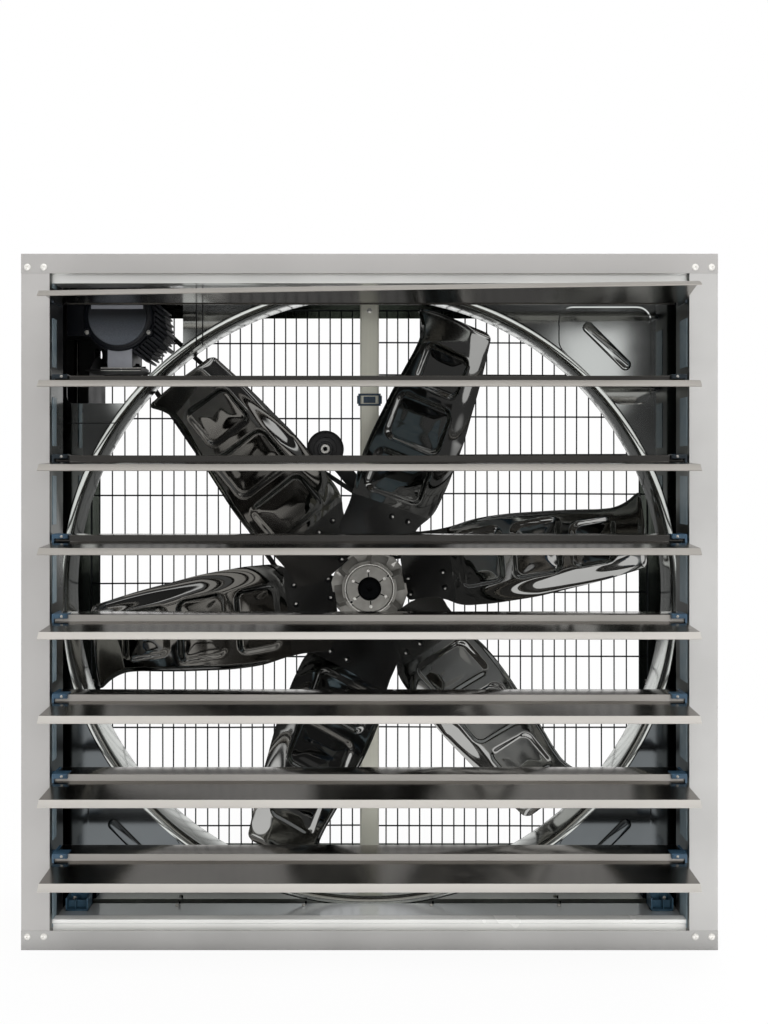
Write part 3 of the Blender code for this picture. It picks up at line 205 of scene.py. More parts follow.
def polished_stainless(name, low, high, roughness):
    """Stainless steel sheet, mirror polished: clear reflections, a little haze and fine wipe marks."""
    made, tree, shader = surface(name, Metallic=1.0)
    haze = noise(tree, 9.0, 5.0)
    # wipe marks are hair-fine on the real blade, drawn about 1 mm wide
    wipe = noise(tree, 900.0, 2.0, (1.0, 0.1, 0.25))
    rough = reckon(tree, "MULTIPLY_ADD", wipe, 0.02, spread(tree, haze, roughness, roughness + 0.035))
    tone = blend(tree, haze, linear(low), linear(high))
    dress(tree, shader, tone, rough, noise(tree, 9.0, 2.0), 0.0006, 0.08)
    return made


def cast_aluminium(name, low, high, roughness, metallic=1.0):
    """Aluminium, die cast and tumbled: satin grey with a fine grain of about 0.5 mm."""
    rough = (roughness - 0.06, roughness + 0.08)
    return mottled(name, low, high, (30.0, 4.0), rough, (1400.0, 2.0, 0.0003, 0.35), Metallic=metallic)


def enamel(name, low, high, roughness, peel, size=420.0, lit_band=None):
    """Stoved enamel over cast metal: a satin coat that follows the casting's grain."""
    rough = (roughness - 0.07, roughness + 0.08)
    made = mottled(name, low, high, (22.0, 4.0), rough, (size, 3.0, 0.0004, peel), Metallic=0.0, IOR=1.5)
    if lit_band:
        # painted light: below the middle the paint blends towards a lighter grey, broken by a fine speck,
        # standing in for light on the lower half
        tree = made.node_tree
        base = tree.nodes["Principled BSDF"].inputs["Base Color"]
        height = add(tree, "SeparateXYZ", Vector=place(tree, (1, 1, 1))).outputs["Z"]
        speck = spread(tree, noise(tree, 700.0, 3.0), 0.7, 1.2)
        share = reckon(tree, "MULTIPLY", spread(tree, height, 0.75, 0.0, *lit_band), speck)
        tree.links.new(blend(tree, share, base.links[0].from_socket, linear("#767C85")), base)
    return made


def moulded(name, low, high, roughness):
    """Nylon, injection moulded: an even satin colour with a fine spark-eroded texture."""
    rough = (roughness - 0.05, roughness + 0.06)
    return mottled(name, low, high, (45.0, 3.0), rough, (1500.0, 2.0, 0.0002, 0.25), Metallic=0.0, IOR=1.53)


def plated(name, low, high, roughness, metallic=1.0):
    """Zinc-plated steel: bright, with slight clouding."""
    rough = (roughness - 0.05, roughness + 0.08)
    return mottled(name, low, high, (120.0, 3.0), rough, Metallic=metallic)


# The top, sill, left and right panels are one galvanised sheet; their slightly different tones are painted
# light and shade for how the light falls on each side.
PANEL = galvanised("galvanised_panel", "#ACAAA8", "#B2B0AE", 0.46, 0, metallic=0.25)
PANEL_SILL = galvanised("galvanised_sill_panel", "#A9A8A6", "#B8B7B5", 0.46, 0, metallic=0.25)
PANEL_LEFT = galvanised("galvanised_left_panel", "#B3B1AF", "#B9B7B5", 0.46, 2, metallic=0.25)
PANEL_RIGHT = galvanised("galvanised_right_panel", "#B7B6B4", "#C4C3C1", 0.46, 2, metallic=0.25)
LINER = galvanised("galvanised_inner_face", "#868A84", "#989C96", 0.10, 2, 0.03, 0.12)
# The inner floor is made near white: painted light on a floor that lies in the housing's shade.
LINER_FLOOR = galvanised("galvanised_inner_floor", "#E2E6E8", "#F0F3F4", 0.22, 0, 0.10, 0.25, metallic=0.15)
PLATE = galvanised("galvanised_orifice_plate", "#BCBFBD", "#CED1CF", 0.06, 0, 0.03, 0.12)
# a darker copy of the orifice plate's finish: painted shade on its lower half
PLATE_SHADED = galvanised("galvanised_plate_painted_shade", "#5A5E60", "#6A6E70", 0.13, 0, 0.03, 0.12)
RING = galvanised("galvanised_throat_ring", "#BFC2BE", "#D3D6D2", 0.13, 0, 0.03, 0.10)
# The shutter rails and the sill's top face are the galvanised sheet made near white, the top face a little
# bluish: painted light for the front light they catch.
FRAME_RAIL = galvanised("galvanised_shutter_rail", "#ECECE9", "#F6F6F3", 0.16, 0, 0.03, 0.06, metallic=0.4)
SILL_RAIL = galvanised("galvanised_sill_rail", "#EEEEEB", "#F7F7F4", 0.24, 0, 0.03, 0.06, metallic=0.08)
RAIL_TOP = galvanised("galvanised_rail_top", "#EAEEF0", "#F6F9FA", 0.13, 0, 0.05, 0.8, metallic=0.5)
# the jambs are a darker copy of the galvanised sheet: painted shade for the shade they stand in
FRAME_JAMB_SHADED = galvanised("galvanised_jamb_painted_shade", "#6E706E", "#858784", 0.30, 2)
LOUVRE = galvanised("galvanised_louvre", "#9C9995", "#ABA8A3", 0.17, 0, 0.03, 0.20)
# Lips get a lighter copy of the louvre sheet, the lower blades' copy lighter still: painted light on the
# faces that catch the front light.
LIP = galvanised("galvanised_louvre_lip", "#A8A49E", "#B1ADA7", 0.32, 0, 0.02, 0.0, metallic=0.55)
LIP_LOW_LIT = galvanised("galvanised_lower_lip_painted_light", "#C5C1BB", "#CFCBC5", 0.32, 0, 0.02, 0.0, metallic=0.45)
BAR_STEEL = galvanised("brushed_support_bar", "#CDCCBE", "#DCDBCD", 0.30, 2, 0.4, metallic=0.3)
STAINLESS = polished_stainless("polished_stainless", "#989896", "#AAAAA8", 0.010)
# a rougher, darker copy of the blade steel; its darkness is painted shade on the flat roots
BLADE_ROOT_SHADED = polished_stainless("stainless_root_painted_shade", "#6E6E6D", "#7E7E7D", 0.20)
HUB_CAST = cast_aluminium("cast_aluminium_hub", "#85837E", "#A9A7A1", 0.40, 0.6)
# hub arms and ribs are made near black: painted shade behind the blades
ARM_CAST_SHADED = cast_aluminium("cast_aluminium_arm_painted_shade", "#2E2E2D", "#40403E", 0.46, 0.6)
HUB_RIM = cast_aluminium("machined_aluminium_rim", "#DCDAD4", "#EBE9E3", 0.26, 0.6)
PULLEY_CAST = cast_aluminium("cast_aluminium_pulley", "#8F8F8B", "#A8A7A3", 0.34)
MOTOR_PAINT = enamel("motor_enamel", "#0B0D12", "#15181E", 0.42, 0.55)
# the front disc is painted lighter towards the bottom: painted light
MOTOR_DISC = enamel("motor_enamel_rough", "#0E1014", "#181B20", 0.55, 0.9, 260.0, (1.238, 1.288))
BLACK_PAINT = enamel("black_enamel", "#060708", "#0E0F10", 0.50, 0.3)
FOOT_PAINT = enamel("grey_enamel", "#8E9097", "#A3A5AC", 0.50, 0.4)
BLACK_PLASTIC = moulded("black_nylon", "#0B0B0C", "#161617", 0.38)
BLUE = moulded("blue_nylon", "#2E475B", "#3E5C73", 0.36)
SLATE = moulded("slate_nylon", "#182127", "#252F36", 0.36)
# a darker copy of the blue nylon: painted shade on the corner guides, which sit in shade
GUIDE_BLUE_SHADED = moulded("blue_nylon_painted_shade", "#2A4658", "#3D5A6D", 0.36)
LINK_PLASTIC = moulded("grey_blue_nylon", "#7D929D", "#97A6AC", 0.38)
CLIP_PLASTIC = moulded("slate_blue_nylon", "#263A4C", "#3A4F62", 0.36)
# near white and barely metallic: a painted highlight on the rivet domes and bolt tips, standing in for their
# bright reflection
RIVET_HIGHLIGHTED = plated("rivet_painted_highlight", "#EDEBE6", "#F8F6F1", 0.18, 0.3)
ZINC = plated("zinc_plated_fastener", "#D4D2CC", "#EBE9E3", 0.22, 0.5)
WIRE = plated("galvanised_guard_wire", "#2C2E31", "#3D4043", 0.42)
SHAFT_STEEL = plated("ground_shaft_steel", "#8E8E8C", "#A9A9A6", 0.25)
RACE_STEEL = plated("oiled_bearing_steel", "#3E3F40", "#545555", 0.32)
BLACK_OXIDE = plated("black_oxide_steel", "#0F1011", "#1B1C1D", 0.50)
# Neoprene V-belt with a fabric cover: dull black with a fine weave of about 1 mm
RUBBER = mottled("belt_rubber", "#0F0F10", "#1D1D1D", (35.0, 4.0), (0.62, 0.85), (1000.0, 2.0, 0.0003, 0.5),
                 Metallic=0.0, IOR=1.52)


# Forms and pieces

def refinish(mesh, finish, chosen):
    """Give another finish to the faces that a test of centre and normal picks."""
    mesh.materials.append(finish)
    for face in mesh.polygons:
        if chosen(face.center, face.normal):
            face.material_index = len(mesh.materials) - 1
    return mesh


def placed(name, data):
    """Put an object of a mesh, lamp or camera in the scene."""
    made = bpy.data.objects.new(name, data)
    bpy.context.scene.collection.objects.link(made)
    return made


class Shape:
    """A mesh gathered from simple closed forms, each with its own material."""

    def __init__(self, name):
        self.name = name
        self.points = []
        self.faces = []
        self.finishes = []
        self.slots = []

    def put(self, form, finish, matrix=None):
        points, faces = form
        start = len(self.points)
        if matrix is not None:
            points = [matrix @ Vector(point) for point in points]
        self.points += [tuple(point) for point in points]
        self.faces += [tuple(start + corner for corner in face) for face in faces]
        if finish not in self.finishes:
            self.finishes.append(finish)
        self.slots += [self.finishes.index(finish)] * len(faces)
        return self

    def mesh(self, sharp=35):
        mesh = bpy.data.meshes.new(self.name)
        mesh.from_pydata(self.points, [], self.faces)
        for finish in self.finishes:
            mesh.materials.append(finish)
        mesh.polygons.foreach_set("material_index", self.slots)
        solid = bmesh.new()
        solid.from_mesh(mesh)
        bmesh.ops.recalc_face_normals(solid, faces=solid.faces)
        solid.to_mesh(mesh)
        solid.free()
        mesh.shade_smooth()
        mesh.set_sharp_from_angle(angle=math.radians(sharp))
        return mesh

    def piece(self, body, slot, replaces=(), sharp=35, **options):
        piece(self.name, self.mesh(sharp), body, slot, replaces, **options)


def piece(name, mesh, body, slot, replaces=(), bevel=0.0, origin=(0, 0, 0), turn=0.0):
    """Make an object of a mesh and let it ride on its body."""
    made = placed(name, mesh)
    made.location = origin
    made.rotation_euler = (0, -math.radians(turn), 0)
    if bevel:
        edge = made.modifiers.new("Bevel", "BEVEL")
        edge.width = bevel
        edge.segments = 2
        edge.limit_method = "ANGLE"
        edge.angle_limit = math.radians(40)
    if replaces:
        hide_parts(*replaces)
    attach(made, body)


def polar(radius, degrees, x=0.0, z=0.0):
    """Point at a radius and an angle from a centre."""
    return x + radius * math.cos(math.radians(degrees)), z + radius * math.sin(math.radians(degrees))


def arc(radius, start, sweep, steps, x=0.0, z=0.0):
    """Points along an arc, with both its ends."""
    return [polar(radius, start + sweep * step / steps, x, z) for step in range(steps + 1)]


def circle(radius, count, x=0.0, z=0.0, start=0.0):
    return [polar(radius, start + 360 * step / count, x, z) for step in range(count)]


def across(side, start, end):
    """Two distances from the middle as rising X values on one side."""
    return sorted((side * start, side * end))


def skinned(rings, looped=False):
    """A closed form through rings of equal length, with a cap at each end or with its ends joined."""
    count = len(rings[0])
    points = [point for ring in rings for point in ring]
    faces = []
    for ring in range(len(rings) if looped else len(rings) - 1):
        first, other = ring * count, (ring + 1) % len(rings) * count
        for i in range(count):
            j = (i + 1) % count
            faces.append((first + i, first + j, other + j, other + i))
    if not looped:
        faces += [tuple(range(count)), tuple(range(len(points) - count, len(points)))]
    return points, faces


def layered(layers):
    """A closed form through outlines of X and Z, each with its Y."""
    return skinned([[(x, y, z) for x, z in outline] for outline, y in layers])


def prism(outline, axis, start, end):
    """Extrude a flat outline along an axis."""
    if axis == "Y":
        return layered([(outline, start), (outline, end)])
    if axis == "X":
        return skinned([[(x, a, b) for a, b in outline] for x in (start, end)])
    return skinned([[(a, b, z) for a, b in outline] for z in (start, end)])


def block(x0, x1, y0, y1, z0, z1):
    return prism([(x0, y0), (x1, y0), (x1, y1), (x0, y1)], "Z", z0, z1)


def turned(profile, start=0.0, x=0.0, z=0.0, segments=48):
    """Turn a closed profile of (radius, distance behind the start) points about a line along Y."""
    points, faces, rows = [], [], []
    for radius, along in profile:
        first = len(points)
        if radius == 0:
            points.append((x, start + along, z))
            rows.append([first] * segments)
        else:
            points += [(a, start + along, b) for a, b in circle(radius, segments, x, z)]
            rows.append(range(first, first + segments))
    for row, other in zip(rows, rows[1:] + rows[:1]):
        for i in range(segments):
            j = (i + 1) % segments
            face = tuple(dict.fromkeys((row[i], row[j], other[j], other[i])))
            if len(face) > 2:
                faces.append(face)
    return points, faces


def drum(radius, start, end, x=0.0, z=0.0, segments=48, bore=0):
    """A plain cylinder along Y, with or without a bore."""
    return turned([(bore, start), (radius, start), (radius, end), (bore, end)], 0.0, x, z, segments)


def tube(path, radius, sides=8):
    """A round bar along a path of points."""
    rings = []
    path = [Vector(point) for point in path]
    for index, point in enumerate(path):
        along = (path[min(index + 1, len(path) - 1)] - path[max(index - 1, 0)]).normalized()
        second = along.orthogonal() if abs(along.y) > 0.9 else along.cross(Vector((0, 1, 0)))
        second.normalize()
        third = along.cross(second)
        rings.append([point + second * a + third * b for a, b in circle(radius, sides)])
    return skinned(rings)


def rounded(path, radius, steps):
    """Round the inner corners of an open path."""
    result = [Vector(path[0])]
    for before, corner, after in zip(path, path[1:], path[2:]):
        corner = Vector(corner)
        back = Vector(before) - corner
        ahead = Vector(after) - corner
        reach = min(radius / math.tan(back.angle(ahead) / 2), back.length * 0.49, ahead.length * 0.49)
        start = corner + back.normalized() * reach
        end = corner + ahead.normalized() * reach
        for step in range(steps + 1):
            share = step / steps
            result.append(start * (1 - share) ** 2 + corner * 2 * share * (1 - share) + end * share ** 2)
    result.append(Vector(path[-1]))
    return result


def folded(path, thickness, radius=0.0022, steps=4):
    """Closed outline of a folded sheet whose outer face follows the path, thickness to its left."""
    points = rounded(path, radius, steps)
    spans = [(end - start).normalized() for start, end in zip(points, points[1:])]
    copies = []
    for index, point in enumerate(points):
        normals = [Vector((-span.y, span.x)) for span in spans[max(index - 1, 0):index + 1]]
        middle = sum(normals, Vector((0, 0))).normalized()
        copies.append(point + middle * (thickness / middle.dot(normals[0])))
    return [tuple(point) for point in points + copies[::-1]]


def carved(mesh, cutters):
    """Cut closed forms out of a mesh."""
    target = placed("carved", mesh)
    tools = []
    for form in cutters:
        tools.append(placed("tool", Shape("tool").put(form, mesh.materials[0]).mesh()))
        step = target.modifiers.new("Boolean", "BOOLEAN")
        step.operation = "DIFFERENCE"
        step.solver = "EXACT"
        step.object = tools[-1]
    result = bpy.data.meshes.new_from_object(target.evaluated_get(bpy.context.evaluated_depsgraph_get()))
    for used in [target, *tools]:
        bpy.data.objects.remove(used, do_unlink=True)
    result.set_sharp_from_angle(angle=math.radians(35))
    return result


def smooth_step(low, high, value):
    t = min(1.0, max(0.0, (value - low) / (high - low)))
    return t * t * (3 - 2 * t)


def toward(x, y, z, axis=(0, 1, 0)):
    """Matrix that turns a form built along +Y to face an axis, then moves it."""
    turn = Vector((0, 1, 0)).rotation_difference(Vector(axis)).to_matrix().to_4x4()
    return Matrix.Translation((x, y, z)) @ turn


def spun(degrees):
    """Matrix that turns a form about the fan's axis."""
    return Matrix.Rotation(-math.radians(degrees), 4, "Y")


def hex_bolt(radius, height, washer):
    """Hexagon bolt head on a washer, its shank end at Y = 0 and its top at -Y."""
    plate = 0.0012
    profile = [(0, 0), (washer, 0), (washer, -plate), (radius, -plate), (0, -plate)]
    points, faces = turned(profile, segments=20)
    levels = ((1, -plate), (1, -plate - height), (0.86, -plate - 0.0004 - height))
    head, sides = layered([(circle(radius * size, 6), y) for size, y in levels])
    return points + head, faces + [tuple(len(points) + corner for corner in face) for face in sides]


def dome(radius, height, step, count, drop=0.0):
    """Profile of a domed head, from its rim to its crown."""
    return [(radius * a, -height * b - drop) for a, b in arc(1, 0, step * (count - 1), count - 1)]


def dome_rivet():
    """Blind rivet head with the dimple of its drawn stem."""
    radius, height, hole = 0.0068, 0.0026, 0.0017
    crown = [point for point in dome(radius, height, 15, 6, 0.0004) if point[0] > hole]
    dimple = [(hole, -height), (hole * 0.8, -height * 0.35), (0, -height * 0.3)]
    return turned([(0, 0), (radius, 0), *crown, *dimple], segments=24)


def pan_screw(radius=0.004, height=0.0022):
    """Pan-head screw with a cross recess, built as a dome with a sunk centre."""
    recess = [(radius * 0.28, -height), (radius * 0.2, -height * 0.45), (0, -height * 0.4)]
    return turned([(0, 0), *dome(radius, height, 18, 5), *recess], segments=16)


# Housing

def rail_panels():
    """Floor and roof of folded sheet, countersunk behind for the corner rivets."""
    for name, low in (("bottom_panel", True), ("top_panel", False)):
        path = [(at(0), FRONT_FLANGE), (at(0), 0.0), (at(DEPTH), 0.0), (at(DEPTH), REAR_FLANGE)]
        outline = folded(path, SHEET)
        if not low:
            outline = [(y, HEIGHT - z) for y, z in outline]
        form = prism(outline, "X", -WIDTH / 2, WIDTH / 2)
        shape = Shape(name + "_sheet").put(form, PANEL_SILL if low else PANEL)
        sinks = [prism(circle(0.0064, 24, x, z), "Y", at(DEPTH - 0.001), at(DEPTH + 0.01))
                 for x, z in RIVETS if low == (z < AXIS_HEIGHT)]
        mesh = carved(shape.mesh(), sinks)
        if low:
            # the inner floor takes the near-white copy: painted light
            refinish(mesh, LINER_FLOOR, lambda centre, normal: normal.z > 0.9 and centre.z < 0.01)
        else:
            refinish(mesh, LINER, lambda centre, normal: normal.z < -0.9 and centre.z > HEIGHT - 0.01)
        refinish(mesh, LINER, lambda centre, normal: normal.y < -0.9 and centre.y > 0.1)
        piece(name + "_sheet", mesh, "housing", "galvanised_sheet", [name])


def side_panels():
    """Side walls with both flanges, cut back where the flanges of floor and roof lie over theirs."""
    half = WIDTH / 2
    path = [(-0.6334, at(0)), (-half, at(0)), (-half, at(DEPTH)), (-0.636, at(DEPTH))]
    # each wall takes its own tone of the sheet: painted light and shade
    for name, side, finish in (("left_panel", -1, PANEL_LEFT), ("right_panel", 1, PANEL_RIGHT)):
        outline = [(x * -side, y) for x, y in folded(path, -SHEET)]
        shape = Shape(name + "_sheet").put(prism(outline, "Z", *UPRIGHT), finish)
        cutters = []
        for y0, y1, flange in ((-0.21, at(0.0015), FRONT_FLANGE), (at(DEPTH - 0.0015), 0.21, REAR_FLANGE)):
            flange += 0.0003
            for z0, z1 in ((-0.01, flange), (HEIGHT - flange, HEIGHT + 0.01)):
                cutters.append(block(*across(side, 0.6, 0.7), y0, y1, z0, z1))
        mesh = refinish(carved(shape.mesh(), cutters), LINER,
                        lambda centre, normal: normal.x * side < -0.9 or (normal.y < -0.9 and centre.y > 0.1))
        piece(name + "_sheet", mesh, "housing", "galvanised_sheet", [name])


def corner_rivets():
    """Domed rivets in front; the rear ones sit in countersinks so that the guard side stays flush."""
    shape = Shape("corner_rivets")
    flush = [(0, 0), (0.006, 0), (0.006, -0.0006), (0.0054, -0.0009), (0.0018, -0.0009), (0.0014, -0.0004),
             (0, -0.0004)]
    for x, z in RIVETS:
        # the front domes take the near-white finish: painted highlight
        shape.put(dome_rivet(), RIVET_HIGHLIGHTED, toward(x, at(0), z))
        shape.put(turned(flush, segments=24), ZINC, toward(x, at(DEPTH - 0.001), z, (0, -1, 0)))
    shape.piece("housing", "turned_steel")


def corner_outline(sides, radius, inset, right, up):
    """A convex outline with round corners, set in by an amount, in the corner that the two signs name."""
    points = []
    for (turn, reach), (next_turn, next_reach) in zip(sides, sides[1:] + sides[:1]):
        turn, swing = math.radians(turn), math.radians((next_turn - turn) % 360)
        out = reach - radius
        along = (next_reach - radius - out * math.cos(swing)) / math.sin(swing)
        a = out * math.cos(turn) - along * math.sin(turn)
        b = out * math.sin(turn) + along * math.cos(turn)
        corner = arc(radius - inset, math.degrees(turn), math.degrees(swing), 8, a, b)
        points += [(right * x, AXIS_HEIGHT + up * z) for x, z in corner]
    return points


def split_level(mesh, height):
    """Cut a level edge line through a mesh."""
    form = bmesh.new()
    form.from_mesh(mesh)
    parts = [*form.verts, *form.edges, *form.faces]
    bmesh.ops.bisect_plane(form, geom=parts, plane_co=(0, 0, height), plane_no=(0, 0, 1))
    form.to_mesh(mesh)
    form.free()


def orifice_plate():
    """The plate round the throat, with a pressed field in three corners and the window in the fourth."""
    half = WIDTH / 2 - 0.0015
    inner = THROAT_RADIUS + 0.0152
    face = at(PLATE_DEPTH)
    turns = 144
    rings = []
    for step in range(turns):
        turn = 360 * step / turns
        reach = half / max(abs(part) for part in polar(1, turn))
        corners = ((inner, face), (reach, face), (reach, face + SHEET), (inner, face + SHEET))
        spots = [(polar(radius, turn, 0, AXIS_HEIGHT), y) for radius, y in corners]
        rings.append([(x, y, z) for (x, z), y in spots])
    shape = Shape("orifice_plate_pressing").put(skinned(rings, True), PLATE)

    cutters = []
    pockets = Shape("orifice_plate_pockets")
    for right, up in ((1, 1), (1, -1), (-1, -1)):
        rim, floor = [corner_outline(FIELD_SIDES, 0.03, inset, right, up) for inset in (0, 0.0026)]
        cutters.append(layered([(rim, face - 0.001), (rim, face), (floor, face + 0.001)]))
        crest, foot = [corner_outline(POCKET_SIDES, 0.0115, inset, right, up) for inset in (0.0045, 0)]
        # the pockets of the two lower corners take the darker copy: painted shade
        pockets.put(layered([(crest, face - 0.0016), (foot, face + 0.001), (foot, face + 0.0011)]),
                    PLATE if up > 0 else PLATE_SHADED)
    pockets.piece("housing", "orifice_sheet", sharp=60)

    left, right, low, high, radius = -0.634, -0.391, 1.091, 1.334, 0.014
    window = []
    for x, z, start in ((right - radius, high - radius, 0), (left + radius, high - radius, 90),
                        (left + radius, low + radius, 180), (right - radius, low + radius, 270)):
        window += arc(radius, start, 90, 6, x, z)
    mesh = carved(shape.mesh(), [*cutters, prism(window, "Y", face - 0.02, face + 0.02)])
    # painted shade: above a strip at the bottom, the lower half takes a darker copy of the plate's finish
    shade_bottom = 0.11
    split_level(mesh, shade_bottom)
    split_level(mesh, AXIS_HEIGHT)
    refinish(mesh, PLATE_SHADED, lambda centre, normal: shade_bottom < centre.z < AXIS_HEIGHT)
    mesh.set_sharp_from_angle(angle=math.radians(12))
    piece("orifice_plate_pressing", mesh, "housing", "orifice_sheet", ["orifice_plate"])

    seams = Shape("window_plate_seams")
    for x0, x1, z0, z1 in ((-0.364, -0.3616, 1.213, 1.34), (-0.3508, -0.3484, 1.213, 1.34),
                           (-0.632, -0.524, 1.0485, 1.0505)):
        seams.put(block(x0, x1, face - 0.0012, face, z0, z1), BLACK_PAINT)
    seams.piece("housing", "orifice_sheet", bevel=0.0004)


def throat_ring():
    """The drawn ring: a rounded entry corner, a plain throat and a small rolled rear edge."""
    radius, entry, length = THROAT_RADIUS, 0.015, 0.092
    outer = radius + entry
    front = arc(entry, 270, -90, 8, outer, entry)
    back = arc(entry - SHEET, 180, 90, 8, outer, entry)
    rolled = [(0, -0.004), (0.0006, -0.0012), (0.003, 0), (0.0042, -0.002), (0.003, -0.0045), (SHEET, -0.006)]
    profile = [(outer + 0.0025, 0), *front, (radius, 0.03), *[(radius + a, length + b) for a, b in rolled],
               (radius + SHEET, 0.03), *back, (outer + 0.0025, SHEET)]
    shape = Shape("throat_ring").put(turned(profile, at(PLATE_DEPTH), 0, AXIS_HEIGHT, 180), RING)
    shape.piece("housing", "orifice_sheet", sharp=60)


def shutter_rails():
    """Stepped rails at the head and sill of the shutter, and the screws along the sill."""
    half = OPENING_HALF - 0.0003
    sill = [(0.112, 0.0015), (0.112, 0.048), (0.037, 0.048), (0.035, 0.0553), (0.014, 0.0553),
            (0.014, 0.0474), (0.0185, 0.0466), (0.0185, 0.0462), (0.0168, 0.0458), (0.0168, 0.0325),
            (0.0015, 0.0325), (0.0015, 0.0015)]
    head = [(0.112, 0.0015), (0.112, 0.048), (0.072, 0.048), (0.07, 0.0567), (0.014, 0.0567), (0.014, 0.0402),
            (0.0125, 0.0396), (0.0125, 0.0386), (0.0015, 0.0382), (0.0015, 0.0015)]
    for name, steps, finish in (("bottom_rail", sill, SILL_RAIL), ("top_rail", head, FRAME_RAIL)):
        outline = folded([(at(depth), z) for depth, z in steps], SHEET * 0.5, 0.0008, 3)
        if steps is head:
            outline = [(y, HEIGHT - z) for y, z in outline]
        mesh = Shape(name + "_folded").put(prism(outline, "X", -half, half), finish).mesh()
        # the sill's top face takes the near-white, bluish copy: painted light
        refinish(mesh, RAIL_TOP, lambda centre, normal: normal.z > 0.9 and 0.046 < centre.z < 0.052)
        piece(name + "_folded", mesh, "housing", "galvanised_sheet", [name])
    screws = Shape("rail_screws")
    down = (0, 0, -1)
    for x in (-0.399, -0.1365, 0.128, 0.393):
        screws.put(pan_screw(0.0042, 0.003), ZINC, toward(x, at(0.1), 0.0486, down))
        pin = drum(0.0018, 0, -0.0052, segments=12)
        screws.put(pin, BLACK_OXIDE, toward(x + 0.004, at(0.108), 0.0486, down))
    screws.piece("housing", "turned_steel")


def jambs():
    """Channels beside the shutter, with a pin hole for each louvre and slots that show the tie rods."""
    wall, flange = OPENING_HALF, 0.6885
    path = [(flange, at(0.0015)), (wall, at(0.0015)), (wall, at(0.09)), (flange, at(0.09))]
    levels = [LOUVRE_FIRST + index * LOUVRE_PITCH for index in range(LOUVRES)]
    for name, side, near, far in (("left_jamb", -1, 0.015, 0.04), ("right_jamb", 1, 0.01, 0.058)):
        outline = [(x * side, y) for x, y in folded(path, -SHEET, 0.002)]
        shape = Shape(name + "_channel").put(prism(outline, "Z", *UPRIGHT), FRAME_JAMB_SHADED)
        span = across(side, wall - 0.004, wall + 0.006)
        cutters = [prism(circle(0.0059, 16, at(PIVOT_DEPTH), z), "X", *span) for z in levels]
        slots = [(low + 0.038, high - 0.038) for low, high in zip(levels, levels[1:])]
        cutters += [block(*span, at(0.023), at(0.045), *slot) for slot in slots]
        piece(name + "_channel", carved(shape.mesh(), cutters), "housing", "galvanised_sheet", [name])

        strips = Shape(name + "_strips")
        span = across(side, wall - 0.0013, wall - 0.0001)
        heights = [(z + 0.026, min(z + LOUVRE_PITCH - 0.034, HEIGHT - 0.052)) for z in levels]
        for low, high in [*heights, (0.04, LOUVRE_FIRST - 0.034)]:
            strips.put(block(*span, at(near), at(far), low, high), LINK_PLASTIC)
        strips.piece("housing", "blue_plastic", bevel=0.0004)


# Shutter

def louvre_mesh(number):
    """One shutter blade: hem, channel, step, broad plate and lip; the top one is sprung and twisted."""
    path = [(0.0215, -0.0028), (0.025, -0.003), (0.025, 0.0067), (-0.027, 0.0067), (-0.029, -0.006),
            (-0.1325, -0.011), (-0.144, -0.0226), (-0.141, -0.024)]
    outline = folded(path, 0.001, 0.0014, 3)
    stations = 2 if number > 1 else 17
    rings = []
    for station in range(stations):
        share = station / (stations - 1)
        lift = math.radians(6.0 + 10.5 * share) if number == 1 else 0.0
        ring = []
        for y, z in outline:
            if lift and y < -0.0295:
                away, up = (y + 0.0285) * 0.991, z + 0.006
                y = -0.0285 + away * math.cos(lift) + up * math.sin(lift)
                z = -0.006 - away * math.sin(lift) + up * math.cos(lift)
            ring.append((-LOUVRE_HALF + 2 * LOUVRE_HALF * share, y, z))
        rings.append(ring)
    mesh = Shape("louvre_sheet").put(skinned(rings), LOUVRE).mesh(40)

    def pale(centre, normal):
        """The lip, and on the lower blades the front of the step and the rear fold too: lighter copies of the
        sheet as painted light, with a painted highlight along the rear fold.
        """
        step = -0.031 < centre.y < -0.026 and normal.y < -0.6
        fold = centre.y > 0.0235 and normal.z > 0.3
        return centre.y < -0.129 and normal.y < -0.3 or number > 4 and (step or fold)

    return refinish(mesh, LIP if number < 5 else LIP_LOW_LIT, pale)


def bush_mesh(side, finish):
    """Moulded end bush: cap over the channel, cheek, pin, crank, web and hook, with a small screw."""
    shape = Shape("louvre_bush_moulding")
    low, high, end = 0.007, 0.0092, LOUVRE_HALF
    cap = [(-0.008, low), (-0.008, high - 0.0008), (-0.033, high), (-0.0355, high - 0.002), (-0.036, 0.0004),
           (-0.0293, 0.0004), (-0.0293, low)]
    cheek = [(0.016, -0.008), (0.016, high), (-0.034, high), (-0.036, high - 0.002), (-0.036, -0.008)]
    far = polar(0.024, -38)
    crank = arc(0.006, 52, 180, 8) + arc(0.006, -128, 180, 8, *far)
    for outline, start, stop in ((cap, end - 0.026, end + 0.0023), (cheek, end + 0.0003, end + 0.0043),
                                 (circle(0.0055, 20), end + 0.002, CRANK_END), (crank, 0.638, 0.642),
                                 (circle(0.003, 14, *far), 0.6342, CRANK_END)):
        shape.put(prism(outline, "X", *across(side, start, stop)), finish)
    hook = across(side, end - 0.0255, end - 0.0235)
    shape.put(block(*hook, -0.0375, -0.0355, 0.0006, high - 0.002), finish)
    shape.put(pan_screw(0.003, 0.0018), ZINC, toward(side * (end - 0.0145), -0.0358, 0.0045))
    return shape.mesh()


